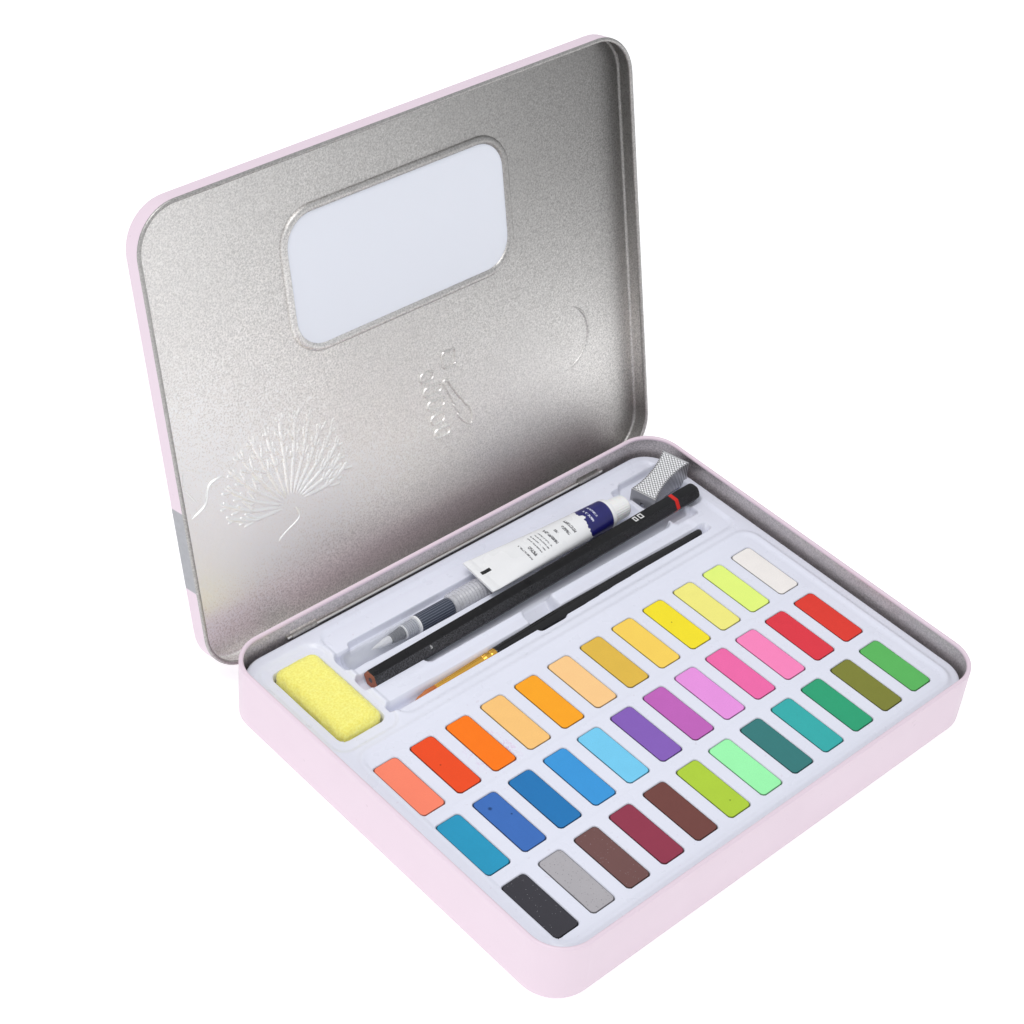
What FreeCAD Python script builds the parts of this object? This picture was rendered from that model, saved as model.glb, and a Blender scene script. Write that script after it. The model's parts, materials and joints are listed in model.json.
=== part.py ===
import FreeCAD, Part
import math
import os
from FreeCAD import Vector

# A watercolour pan set in a hinged tin, in millimetres.
# X runs along the hinge, Y from the front of the tin towards the hinge, Z up.
# The origin is the centre of the tin's underside. The lid is modelled shut and then opened.

# Tin: a drawn tray of thin sheet whose rim is rolled inwards.
SHEET = 0.4
TIN_WIDTH = 228.0
TIN_DEPTH = 183.0
TIN_HEIGHT = 27.0
TIN_CORNER = 15.5
FLOOR_BEND = 1.6
RIM_BEAD = 1.8

# Lid: a shallow tray that overlaps the tin, with a glazed window.
LID_MARGIN = 2.4
LID_SIDE_MARGIN = 3.0
LID_X = -0.4
LID_HEIGHT = 8.6
LID_HEADROOM = 1.4
LID_BEND = 1.6
SKIRT_BEAD = 1.7
LID_OPEN_ANGLE = 103.15
WINDOW_WIDTH = 103.5
WINDOW_DEPTH = 51.5
WINDOW_CORNER = 12.0
WINDOW_X = -0.35
WINDOW_FROM_FRONT = 52.45
WINDOW_FRAME_WIDTH = 3.4
WINDOW_FRAME_HEIGHT = 1.3
FILM_THICKNESS = 0.3
FILM_TUCK = 1.4

# Hinge: two tongues of the lid pass through slots in the back wall and curl round a steel rod.
ROD_RADIUS = 0.6
ROD_Y = TIN_DEPTH / 2 - SHEET - ROD_RADIUS
ROD_Z = 17.3
ROD_LENGTH = 168.0
KNUCKLE_BORE = 0.65
KNUCKLE_RADIUS = 1.0
TONGUE_WIDTH = 12.0
TONGUE_X = 76.0
SLOT_SIDE_GAP = 0.3
SLOT_BELOW = 1.9
SLOT_ABOVE = 2.3
TACK_X = (-58.0, 0.0, 58.0)
TACK_LENGTH = 3.0

# Tray: one formed plastic sheet that stands on the tin's floor.
TRAY_SHEET = 0.5
TRAY_TOP = 17.5
TRAY_GAP = 0.5
TRAY_LIFT = 0.1
TRAY_CORNER = 13.2

# Cakes: three rows of twelve, cast into their pockets.
CAKE_WIDTH = 11.4
CAKE_DEPTH = 28.6
CAKE_HEIGHT = 5.4
CAKE_CORNER = 2.0
CAKE_COLUMNS = 12
CAKE_ROWS = 3
CAKE_PITCH_X = 17.2
CAKE_PITCH_Y = 34.4
CAKE_CENTRE = (-1.4, -29.9)
CAKE_GAP = 0.15
CAKE_BELOW_TOP = 0.1

# Tool wells in the tray: x from, x to, y from, y to, floor height, corner radius.
WELLS = {
    "sponge": (-102.6, -79.0, 33.4, 80.2, 6.0, 4.0),
    "water_brush": (-77.5, 27.0, 62.4, 74.0, 9.6, 4.0),
    "paint_tube": (22.0, 80.6, 59.2, 76.2, 12.6, 4.0),
    "pencil": (-78.0, 98.0, 50.3, 59.7, 12.0, 3.0),
    "pencil_rest": (92.0, 107.2, 50.3, 60.4, 15.4, 3.0),
    "brush": (-77.6, 96.5, 34.4, 42.0, 10.4, 3.0),
    "finger_dip": (-4.6, 15.4, 40.0, 52.4, 11.2, 2.0),
    "finger_dip_front": (-3.6, 12.4, 30.6, 36.4, 11.2, 2.0),
    "sharpener": (81.2, 111.0, 59.2, 82.0, 12.4, 4.0),
}

# Sponge.
SPONGE_BOX = (-100.0, -81.0, 35.0, 78.0, 6.2, 20.6)
SPONGE_ROUND = 2.5

# Pencil: six-sided and unsharpened, with a rounded dipped end.
PENCIL_START = Vector(-72.2, 54.9, 16.0)
PENCIL_END = Vector(104.7, 55.4, 19.8)
PENCIL_FLAT_RADIUS = 3.6
PENCIL_DOME = 1.6
LEAD_RADIUS = 1.1
LEAD_LENGTH = 172.0

# Small round brush.
BRUSH_TIP = Vector(-65.2, 38.0, 14.0)
BRUSH_END = Vector(91.2, 38.4, 16.2)
BRISTLE_LENGTH = 11.0
FERRULE_LENGTH = 30.0
FERRULE_TIP_RADIUS = 1.7
FERRULE_RADIUS = 2.5
HANDLE_SWELL_RADIUS = 3.0
HANDLE_SWELL_AT = 34.0
HANDLE_TIP_RADIUS = 1.1

# Water brush, along X.
WATER_BRUSH_Y = 68.2
WATER_BRUSH_Z = 14.9
WATER_CAP_START = -73.8
WATER_CAP_END = -38.5
WATER_CAP_RADIUS = 4.2
WATER_TIP_START = -61.0
WATER_NOZZLE_START = -51.5
WATER_GRIP_START = -38.2
WATER_GRIP_END = -20.8
WATER_GRIP_RADIUS = 3.9
WATER_BARREL_END = 6.0
WATER_BARREL_RADIUS = 5.0
CLEAR_WALL = 0.7

# Paint tube, lying on the water brush's barrel.
TUBE_CRIMP = Vector(-6.4, 68.6, 21.75)
TUBE_SHOULDER = Vector(62.5, 67.2, 19.7)
TUBE_CRIMP_WIDTH = 18.7
TUBE_CRIMP_THICKNESS = 1.5
TUBE_CRIMP_LENGTH = 3.6
TUBE_RADIUS = 6.5
TUBE_RIM_LENGTH = 1.6
TUBE_NECK_RADIUS = 3.2
TUBE_NECK_LENGTH = 6.8
TUBE_CAP_GAP = 0.4
TUBE_CAP_LENGTH = 9.4
TUBE_CAP_RADIUS = 5.3
TUBE_CAP_BORE = 3.26
TUBE_CAP_BORE_DEPTH = 7.6

# Pencil sharpener: a wedge lying on its blade.
SHARPENER_CORNER = Vector(82.7, 71.6, 14.6)
SHARPENER_TURN = 12.5
SHARPENER_LENGTH = 24.7
SHARPENER_WIDTH = 11.9
SHARPENER_LOW = 6.4
SHARPENER_HIGH = 11.8
SHARPENER_FLARE = 1.3
SHARPENER_WAIST = 1.6
CONE_MOUTH_RADIUS = 3.9
CONE_TIP_RADIUS = 1.0
CONE_LENGTH = 21.0
BLADE_SIZE = (22.0, 8.0, 0.6)
SCREW_RADIUS = 0.95
SCREW_HEAD_RADIUS = 1.9
SCREW_HEAD_HEIGHT = 0.9
SCREW_DEPTH = 2.6

UP = Vector(0, 0, 1)
ALONG = Vector(1, 0, 0)

os.makedirs("parts", exist_ok=True)


def save(shape, name):
    """Check a sub-part and write it to its own STEP file."""
    if not shape.isValid() or shape.Volume <= 0:
        raise ValueError(name + " is not a valid solid")
    if len(shape.Solids) == 1:
        shape = shape.Solids[0]
    shape.exportStep("parts/" + name + ".step")
    print(name, len(shape.Solids), round(shape.Volume, 1))


def rounded_outline(width, depth, radius, z=0.0, x=0.0, y=0.0):
    """The wire round a rectangle with round corners, starting on its +X side."""
    a = width / 2
    b = depth / 2
    bends = [(a - radius, b - radius, 0), (-a + radius, b - radius, 90)]
    bends += [(-a + radius, -b + radius, 180), (a - radius, -b + radius, 270)]
    edges = []
    last = Vector(x + a, y, z)
    for cx, cy, start in bends:
        points = []
        for turn in (0, 45, 90):
            angle = math.radians(start + turn)
            points.append(
                Vector(x + cx + radius * math.cos(angle), y + cy + radius * math.sin(angle), z)
            )
        edges.append(Part.makeLine(last, points[0]))
        edges.append(Part.Arc(*points).toShape())
        last = points[2]
    edges.append(Part.makeLine(last, Vector(x + a, y, z)))
    return Part.Wire(edges)


def rounded_plate(width, depth, radius, z, height, x=0.0, y=0.0):
    """A slab with round corners."""
    return Part.Face(rounded_outline(width, depth, radius, z, x, y)).extrude(UP * height)


def rounded_block(x0, x1, y0, y1, z0, z1, radius):
    """A slab with round corners, from its limits."""
    middle = ((x0 + x1) / 2, (y0 + y1) / 2)
    return rounded_plate(x1 - x0, y1 - y0, radius, z0, z1 - z0, *middle)


def arc_to(start, middle, end):
    return Part.Arc(start, middle, end).toShape()


def swept_wall(width, depth, radius, profile, x=0.0, y=0.0):
    """A wall that follows a rounded outline. profile makes edges from a function that places
    a point at an inward distance from the outline and a height."""

    def at(inward, height):
        return Vector(x + width / 2 - inward, y, height)

    section = Part.Wire(profile(at))
    path = rounded_outline(width, depth, radius, 0.0, x, y)
    wall = path.makePipeShell([section], True, False)
    if wall.Volume < 0:
        wall.reverse()
    return wall


def curl_points(at, centre_in, centre_z, radius, start, finish, steps):
    """Points on an arc round a curl's centre, by angle in degrees."""
    points = []
    for step in range(steps + 1):
        angle = math.radians(start + (finish - start) * step / steps)
        across = centre_in + radius * math.cos(angle)
        points.append(at(across, centre_z + radius * math.sin(angle)))
    return points


def rolled_wall_edges(at, foot, mouth, bend, bead, up):
    """Edges of a sheet wall: a bend at the foot and an inward curl at the mouth.
    up is 1 for a wall that rises to its mouth and -1 for one that hangs down to it."""
    r = bead / 2
    centre_z = mouth - up * r
    inner = bend - SHEET
    slant = math.sqrt(0.5)
    outside = [at(bend, foot), at(bend * (1 - slant), foot + up * bend * (1 - slant))]
    outside.append(at(0, foot + up * bend))
    inside = [at(SHEET, foot + up * bend)]
    inside.append(at(bend - inner * slant, foot + up * (bend - inner * slant)))
    inside.append(at(bend, foot + up * SHEET))
    over = curl_points(at, r, centre_z, r, 180, 180 - up * 290, 2)
    under = curl_points(at, r, centre_z, r - SHEET, 180 - up * 290, 180, 2)
    return [
        arc_to(*outside),
        Part.makeLine(outside[2], over[0]),
        arc_to(*over),
        Part.makeLine(over[2], under[0]),
        arc_to(*under),
        Part.makeLine(under[2], inside[0]),
        arc_to(*inside),
        Part.makeLine(inside[2], outside[0]),
    ]


def rod(radius, length, centre):
    """A round bar along X, centred on a point."""
    start = centre - ALONG * (length / 2)
    return Part.makeCylinder(radius, length, start, ALONG)


def base_shell():
    """The tin: floor, wall with a rolled rim, hinge slots and tack welds for the rod."""

    def profile(at):
        return rolled_wall_edges(at, 0.0, TIN_HEIGHT, FLOOR_BEND, RIM_BEAD, 1)

    wall = swept_wall(TIN_WIDTH, TIN_DEPTH, TIN_CORNER, profile)
    inset = 2 * FLOOR_BEND
    corner = TIN_CORNER - FLOOR_BEND
    floor = rounded_plate(TIN_WIDTH - inset, TIN_DEPTH - inset, corner, 0.0, SHEET)
    shell = wall.fuse(floor)
    inner_face = TIN_DEPTH / 2 - SHEET
    tacks = []
    for x in TACK_X:
        low = Vector(x - TACK_LENGTH / 2, ROD_Y, ROD_Z - ROD_RADIUS)
        depth = inner_face - ROD_Y + SHEET / 2
        tacks.append(Part.makeBox(TACK_LENGTH, depth, 2 * ROD_RADIUS, low))
    shell = shell.fuse(tacks)
    cutters = [rod(ROD_RADIUS, ROD_LENGTH, Vector(0, ROD_Y, ROD_Z))]
    slot_width = TONGUE_WIDTH + 2 * SLOT_SIDE_GAP
    for x in (-TONGUE_X, TONGUE_X):
        low = Vector(x - slot_width / 2, inner_face - 1, ROD_Z - SLOT_BELOW)
        cutters.append(Part.makeBox(slot_width, SHEET + 2, SLOT_BELOW + SLOT_ABOVE, low))
    return shell.cut(cutters).removeSplitter()


def opened(shape):
    """A lid piece turned from shut to open about the rod."""
    turned = shape.copy()
    turned.rotate(Vector(0, ROD_Y, ROD_Z), -ALONG, LID_OPEN_ANGLE)
    return turned


def lid_levels():
    """Heights of the shut lid's top and of its skirt's edge."""
    top = TIN_HEIGHT + LID_HEADROOM + SHEET
    return top, top - LID_HEIGHT


def film_blank(grow, thickness_gap):
    """The window film, or the groove that holds it."""
    top = lid_levels()[0] - SHEET
    lid_front = -TIN_DEPTH / 2 - LID_MARGIN
    size = 2 * (FILM_TUCK + grow)
    return rounded_plate(
        WINDOW_WIDTH + size,
        WINDOW_DEPTH + size,
        WINDOW_CORNER + FILM_TUCK + grow,
        top - FILM_THICKNESS - thickness_gap,
        FILM_THICKNESS + thickness_gap,
        WINDOW_X,
        lid_front + WINDOW_FROM_FRONT,
    )


def lid_tongue(x):
    """A tongue that leaves the skirt's curl and rolls round the hinge rod."""
    centre = Vector(x, ROD_Y, ROD_Z)
    knuckle = rod(KNUCKLE_RADIUS, TONGUE_WIDTH, centre)
    curl = SKIRT_BEAD / 2
    skirt_y = TIN_DEPTH / 2 + LID_MARGIN - curl
    skirt_z = lid_levels()[1] + curl
    reach = math.hypot(skirt_y - ROD_Y, skirt_z - ROD_Z) - curl + SHEET / 2
    strip = Part.makeBox(TONGUE_WIDTH, reach, SHEET, Vector(-TONGUE_WIDTH / 2, 0, -SHEET / 2))
    lean = math.degrees(math.atan2(skirt_z - ROD_Z, skirt_y - ROD_Y))
    strip.rotate(Vector(0, 0, 0), ALONG, lean)
    strip.translate(centre)
    bore = rod(KNUCKLE_BORE, TONGUE_WIDTH + 2, centre)
    return knuckle.fuse(strip).cut(bore)


def lid_shell():
    """The lid: panel with a framed window, skirt with a rolled edge, hinge tongues."""
    top, edge = lid_levels()
    width = TIN_WIDTH + 2 * LID_SIDE_MARGIN
    depth = TIN_DEPTH + 2 * LID_MARGIN
    corner = TIN_CORNER + LID_MARGIN

    def profile(at):
        return rolled_wall_edges(at, top, edge, LID_BEND, SKIRT_BEAD, -1)

    skirt = swept_wall(width, depth, corner, profile, LID_X)
    inset = 2 * LID_BEND
    panel = rounded_plate(
        width - inset, depth - inset, corner - LID_BEND, top - SHEET, SHEET, LID_X
    )
    window_y = -depth / 2 + WINDOW_FROM_FRONT
    frame_grow = 2 * WINDOW_FRAME_WIDTH
    inner_face = top - SHEET

    def frame_profile(at):
        low = inner_face - WINDOW_FRAME_HEIGHT
        corners = [at(0, inner_face), at(WINDOW_FRAME_WIDTH, inner_face)]
        crown = arc_to(corners[1], at(WINDOW_FRAME_WIDTH / 2, low), corners[0])
        return [Part.makeLine(*corners), crown]

    frame = swept_wall(
        WINDOW_WIDTH + frame_grow,
        WINDOW_DEPTH + frame_grow,
        WINDOW_CORNER + WINDOW_FRAME_WIDTH,
        frame_profile,
        WINDOW_X,
        window_y,
    )
    opening = rounded_plate(
        WINDOW_WIDTH, WINDOW_DEPTH, WINDOW_CORNER, top - 4, 6, WINDOW_X, window_y
    )
    tongues = [lid_tongue(-TONGUE_X), lid_tongue(TONGUE_X)]
    shell = skirt.fuse([panel, frame] + tongues)
    return opened(shell.cut([opening, film_blank(0.05, 0.05)]).removeSplitter())


def cake_places():
    """Centre of each cake, row by row from the tool wells to the front."""
    places = []
    for row in range(CAKE_ROWS):
        y = CAKE_CENTRE[1] + CAKE_PITCH_Y * ((CAKE_ROWS - 1) / 2 - row)
        for column in range(CAKE_COLUMNS):
            x = CAKE_CENTRE[0] + CAKE_PITCH_X * (column - (CAKE_COLUMNS - 1) / 2)
            places.append((row + 1, column + 1, x, y))
    return places


def tray():
    """The formed sheet: flat top, edge wall down to the floor, wells and pockets."""
    bottom = SHEET + TRAY_LIFT
    side = 2 * (RIM_BEAD + TRAY_GAP)
    width = TIN_WIDTH - side
    depth = TIN_DEPTH - side
    outside = rounded_plate(width, depth, TRAY_CORNER, bottom, TRAY_TOP - bottom)
    thin = 2 * TRAY_SHEET
    inside_height = TRAY_TOP - TRAY_SHEET - bottom
    inside = rounded_plate(
        width - thin, depth - thin, TRAY_CORNER - TRAY_SHEET, bottom, inside_height
    )
    shell = outside.cut(inside)
    skins = []
    hollows = []
    for x0, x1, y0, y1, floor, corner in WELLS.values():
        hollows.append(rounded_block(x0, x1, y0, y1, floor, TRAY_TOP + 1, corner))
        grown = (x0 - TRAY_SHEET, x1 + TRAY_SHEET, y0 - TRAY_SHEET, y1 + TRAY_SHEET)
        skins.append(
            rounded_block(*grown, floor - TRAY_SHEET, TRAY_TOP, corner + TRAY_SHEET)
        )
    floor = TRAY_TOP - CAKE_BELOW_TOP - CAKE_HEIGHT - CAKE_GAP
    width = CAKE_WIDTH + 2 * CAKE_GAP
    depth = CAKE_DEPTH + 2 * CAKE_GAP
    corner = CAKE_CORNER + CAKE_GAP
    for _, _, x, y in cake_places():
        hollows.append(rounded_plate(width, depth, corner, floor, TRAY_TOP + 1 - floor, x, y))
        skins.append(
            rounded_plate(
                width + thin,
                depth + thin,
                corner + TRAY_SHEET,
                floor - TRAY_SHEET,
                TRAY_TOP - floor + TRAY_SHEET,
                x,
                y,
            )
        )
    return shell.fuse(skins).cut(hollows).removeSplitter()


def cake(x, y):
    """One block of dried paint, flush with the tray."""
    bottom = TRAY_TOP - CAKE_BELOW_TOP - CAKE_HEIGHT
    return rounded_plate(CAKE_WIDTH, CAKE_DEPTH, CAKE_CORNER, bottom, CAKE_HEIGHT, x, y)


def sponge():
    x0, x1, y0, y1, z0, z1 = SPONGE_BOX
    block = rounded_block(x0, x1, y0, y1, z0, z1, SPONGE_ROUND * 1.6)
    top_edges = [e for e in block.Edges if e.BoundBox.ZMin > z1 - 0.01]
    return block.makeFillet(SPONGE_ROUND, top_edges)


def laid(shape, start, end):
    """A piece made along X from the origin, laid from one point towards another."""
    placed = shape.copy()
    turn = FreeCAD.Rotation(ALONG, end - start)
    placed.Placement = FreeCAD.Placement(start, turn).multiply(placed.Placement)
    return placed


def pencil_pieces():
    """The painted casing and the lead inside it."""
    length = (PENCIL_END - PENCIL_START).Length
    corner_radius = PENCIL_FLAT_RADIUS / math.cos(math.radians(30))
    corners = []
    for step in range(7):
        angle = math.radians(60 * step)
        corners.append(
            Vector(0, corner_radius * math.cos(angle), corner_radius * math.sin(angle))
        )
    bar = Part.Face(Part.makePolygon(corners)).extrude(ALONG * length)
    ball_radius = (corner_radius**2 + PENCIL_DOME**2) / (2 * PENCIL_DOME)
    ball = Part.makeSphere(ball_radius, Vector(length - ball_radius, 0, 0))
    shaft = Part.makeBox(length - PENCIL_DOME, 10, 10, Vector(0, -5, -5))
    casing = bar.common(shaft.fuse(ball))
    lead = Part.makeCylinder(LEAD_RADIUS, LEAD_LENGTH, Vector(0, 0, 0), ALONG)
    casing = casing.cut(lead).removeSplitter()
    return laid(casing, PENCIL_START, PENCIL_END), laid(lead, PENCIL_START, PENCIL_END)


def turned_along_x(stations, step=4.0):
    """A solid of revolution about X whose radius eases between stations of (x, radius)."""
    points = []
    for (x0, r0), (x1, r1) in zip(stations, stations[1:]):
        count = max(2, round((x1 - x0) / step))
        for i in range(count):
            share = i / count
            ease = (1 - math.cos(math.pi * share)) / 2
            points.append(Vector(x0 + (x1 - x0) * share, 0, r0 + (r1 - r0) * ease))
    points.append(Vector(stations[-1][0], 0, stations[-1][1]))
    curve = Part.BSplineCurve()
    curve.interpolate(points)
    start = Vector(points[0].x, 0, 0)
    end = Vector(points[-1].x, 0, 0)
    edges = [Part.makeLine(start, points[0]), curve.toShape(), Part.makeLine(points[-1], end)]
    edges.append(Part.makeLine(end, start))
    return Part.Face(Part.Wire(edges)).revolve(Vector(0, 0, 0), ALONG, 360)


def brush_pieces():
    """Handle, ferrule and bristles of the small brush, which meet end to end."""
    length = (BRUSH_END - BRUSH_TIP).Length
    neck = BRISTLE_LENGTH + FERRULE_LENGTH
    bristles = turned_along_x([(0, 0.25), (BRISTLE_LENGTH, FERRULE_TIP_RADIUS)], 2.0)
    ferrule = Part.makeCone(
        FERRULE_TIP_RADIUS, FERRULE_RADIUS, FERRULE_LENGTH, ALONG * BRISTLE_LENGTH, ALONG
    )
    handle = turned_along_x(
        [
            (neck, FERRULE_RADIUS),
            (neck + HANDLE_SWELL_AT, HANDLE_SWELL_RADIUS),
            (length - 0.8, HANDLE_TIP_RADIUS),
            (length, HANDLE_TIP_RADIUS * 0.5),
        ]
    )
    pieces = [handle, ferrule, bristles]
    return [laid(piece, BRUSH_TIP, BRUSH_END) for piece in pieces]


def water_point(x):
    return Vector(x, WATER_BRUSH_Y, WATER_BRUSH_Z)


def water_bar(start, end, radius):
    return Part.makeCylinder(radius, end - start, water_point(start), ALONG)


def water_brush_pieces():
    """Clear cap, bristles, nozzle, grip and clear barrel of the water brush."""
    inner = WATER_CAP_RADIUS - CLEAR_WALL
    cap = water_bar(WATER_CAP_START, WATER_CAP_END, WATER_CAP_RADIUS)
    cap = cap.cut(water_bar(WATER_CAP_START + 1.2, WATER_CAP_END, inner))
    nozzle_end = WATER_GRIP_START + 2.0
    nozzle_length = nozzle_end - 3.0 - WATER_NOZZLE_START
    nozzle = Part.makeCone(1.8, 3.0, nozzle_length, water_point(WATER_NOZZLE_START), ALONG)
    nozzle = nozzle.fuse(water_bar(nozzle_end - 3.0, nozzle_end, 3.0)).removeSplitter()
    bristle_length = WATER_NOZZLE_START - WATER_TIP_START
    bristles = Part.makeCone(0.3, 1.7, bristle_length, water_point(WATER_TIP_START), ALONG)
    grip = water_bar(WATER_GRIP_START, WATER_GRIP_END, WATER_GRIP_RADIUS)
    barrel_inner = WATER_BARREL_RADIUS - CLEAR_WALL
    stub = water_bar(WATER_GRIP_END, WATER_GRIP_END + 4.0, barrel_inner)
    grip = grip.fuse(stub).cut(water_bar(WATER_GRIP_START, nozzle_end, 3.0)).removeSplitter()
    barrel = water_bar(WATER_GRIP_END, WATER_BARREL_END, WATER_BARREL_RADIUS)
    barrel = barrel.cut(water_bar(WATER_GRIP_END, WATER_BARREL_END - 1.5, barrel_inner))
    return {
        "water_brush_cap": cap,
        "water_brush_nozzle": nozzle,
        "water_brush_bristles": bristles,
        "water_brush_grip": grip,
        "water_brush_barrel": barrel,
    }


def flat_round(x, half_width, half_height):
    """An ellipse across X, lying flat."""
    major = max(half_width, half_height + 0.001)
    ellipse = Part.Ellipse(Vector(0, 0, 0), major, half_height)
    wire = Part.Wire([ellipse.toShape()])
    wire.Placement = FreeCAD.Placement(
        Vector(x, 0, 0), FreeCAD.Rotation(Vector(0, 1, 0), Vector(0, 0, 1), ALONG, "YZX")
    )
    return wire


def tube_pieces():
    """The paint tube with its folded crimp and threaded neck, and its screw cap."""
    length = (TUBE_SHOULDER - TUBE_CRIMP).Length
    start = TUBE_CRIMP_LENGTH
    sections = []
    for share in (0.0, 0.3, 0.65, 1.0):
        opening = math.sin(math.radians(90 * share))
        half_width = TUBE_CRIMP_WIDTH / 2 * (1 - share) + TUBE_RADIUS * share
        half_height = 0.5 + (TUBE_RADIUS - 0.5) * (0.85 * share + 0.15 * opening)
        x = start + (length - start) * share
        sections.append(flat_round(x, half_width, half_height))
    body = Part.makeLoft(sections, True)
    low = Vector(0, -TUBE_CRIMP_WIDTH / 2, -TUBE_CRIMP_THICKNESS / 2)
    crimp = Part.makeBox(start + 0.6, TUBE_CRIMP_WIDTH, TUBE_CRIMP_THICKNESS, low)
    rim = Part.makeCylinder(TUBE_RADIUS - 0.1, TUBE_RIM_LENGTH, ALONG * length, ALONG)
    rim_end = length + TUBE_RIM_LENGTH
    neck = Part.makeCylinder(TUBE_NECK_RADIUS, TUBE_NECK_LENGTH, ALONG * rim_end, ALONG)
    body = body.fuse([crimp, rim, neck]).removeSplitter()
    cap_start = ALONG * (rim_end + TUBE_CAP_GAP)
    cap = Part.makeCone(
        TUBE_CAP_RADIUS, TUBE_CAP_RADIUS - 0.5, TUBE_CAP_LENGTH, cap_start, ALONG
    )
    cap = cap.cut(Part.makeCylinder(TUBE_CAP_BORE, TUBE_CAP_BORE_DEPTH, cap_start, ALONG))
    return laid(body, TUBE_CRIMP, TUBE_SHOULDER), laid(cap, TUBE_CRIMP, TUBE_SHOULDER)


def sharpener_pieces():
    """The wedge with its conical hole, the blade under it and the blade's screw."""
    length = SHARPENER_LENGTH
    width = SHARPENER_WIDTH
    waist = SHARPENER_WAIST
    flare = SHARPENER_FLARE / 2
    corners = [Vector(0, 0, 0), Vector(length, flare, 0)]
    corners += [Vector(length, -width - flare, 0), Vector(0, -width, 0)]
    outline = [
        arc_to(corners[0], Vector(length / 2, -waist, 0), corners[1]),
        Part.makeLine(corners[1], corners[2]),
        arc_to(corners[2], Vector(length / 2, waist - width, 0), corners[3]),
        Part.makeLine(corners[3], corners[0]),
    ]
    block = Part.Face(Part.Wire(outline)).extrude(UP * SHARPENER_HIGH)
    side = [Vector(-1, 2, 0), Vector(-1, 2, SHARPENER_LOW), Vector(0, 2, SHARPENER_LOW)]
    side += [Vector(length, 2, SHARPENER_HIGH), Vector(length + 1, 2, SHARPENER_HIGH)]
    side += [Vector(length + 1, 2, 0), Vector(-1, 2, 0)]
    wedge = Part.Face(Part.makePolygon(side)).extrude(Vector(0, -width - 4, 0))
    body = block.common(wedge)
    middle = -width / 2
    mouth = Vector(length, middle, CONE_MOUTH_RADIUS + 0.9)
    tip = Vector(length - CONE_LENGTH, middle, CONE_TIP_RADIUS + 0.2)
    cone_length = (tip - mouth).Length
    cone = Part.makeCone(CONE_MOUTH_RADIUS, CONE_TIP_RADIUS, cone_length, mouth, tip - mouth)
    outlet = Part.makeCylinder(CONE_TIP_RADIUS, length, tip, tip - mouth)
    slot_low = Vector(length - CONE_LENGTH + 3, middle - 1.2, -1)
    slot = Part.makeBox(CONE_LENGTH - 6, 3.6, 4.0, slot_low)
    blade_x, blade_y, blade_z = BLADE_SIZE
    blade_low = Vector((length - blade_x) / 2, middle - blade_y / 2, -blade_z)
    blade = Part.makeBox(blade_x, blade_y, blade_z, blade_low)
    screw_at = Vector(length * 0.5, middle - 2.6, SCREW_DEPTH)
    shank = Part.makeCylinder(SCREW_RADIUS, SCREW_DEPTH + blade_z, screw_at, -UP)
    head_at = Vector(screw_at.x, screw_at.y, -blade_z)
    head = Part.makeCylinder(SCREW_HEAD_RADIUS, SCREW_HEAD_HEIGHT, head_at, -UP)
    driver = Part.makeBox(2 * SCREW_HEAD_RADIUS + 1, 0.5, 0.4)
    driver.translate(head_at - Vector(SCREW_HEAD_RADIUS + 0.5, 0.25, SCREW_HEAD_HEIGHT))
    body = body.cut([cone, outlet, slot, shank]).removeSplitter()
    screw = shank.fuse(head).cut(driver).removeSplitter()
    pieces = {
        "sharpener_body": body,
        "sharpener_blade": blade.cut(shank),
        "sharpener_screw": screw,
    }
    for piece in pieces.values():
        piece.rotate(Vector(0, 0, 0), UP, SHARPENER_TURN)
        piece.translate(SHARPENER_CORNER)
    return pieces


save(base_shell(), "base_shell")
save(rod(ROD_RADIUS, ROD_LENGTH, Vector(0, ROD_Y, ROD_Z)), "hinge_rod")
save(lid_shell(), "lid_shell")
save(opened(film_blank(0.0, 0.0)), "window_film")
save(tray(), "tray")
for row, column, x, y in cake_places():
    save(cake(x, y), "cake_row%d_%02d" % (row, column))
save(sponge(), "sponge")
casing, lead = pencil_pieces()
save(casing, "pencil_casing")
save(lead, "pencil_lead")
handle, ferrule, bristles = brush_pieces()
save(handle, "brush_handle")
save(ferrule, "brush_ferrule")
save(bristles, "brush_bristles")
for name, piece in water_brush_pieces().items():
    save(piece, name)
tube_body, tube_cap = tube_pieces()
save(tube_body, "tube_body")
save(tube_cap, "tube_cap")
for name, piece in sharpener_pieces().items():
    save(piece, name)
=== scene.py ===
import bpy
import json
import math
import random
import numpy as np
from mathutils import Matrix, Quaternion, Vector, noise
from mathutils.kdtree import KDTree

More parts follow.
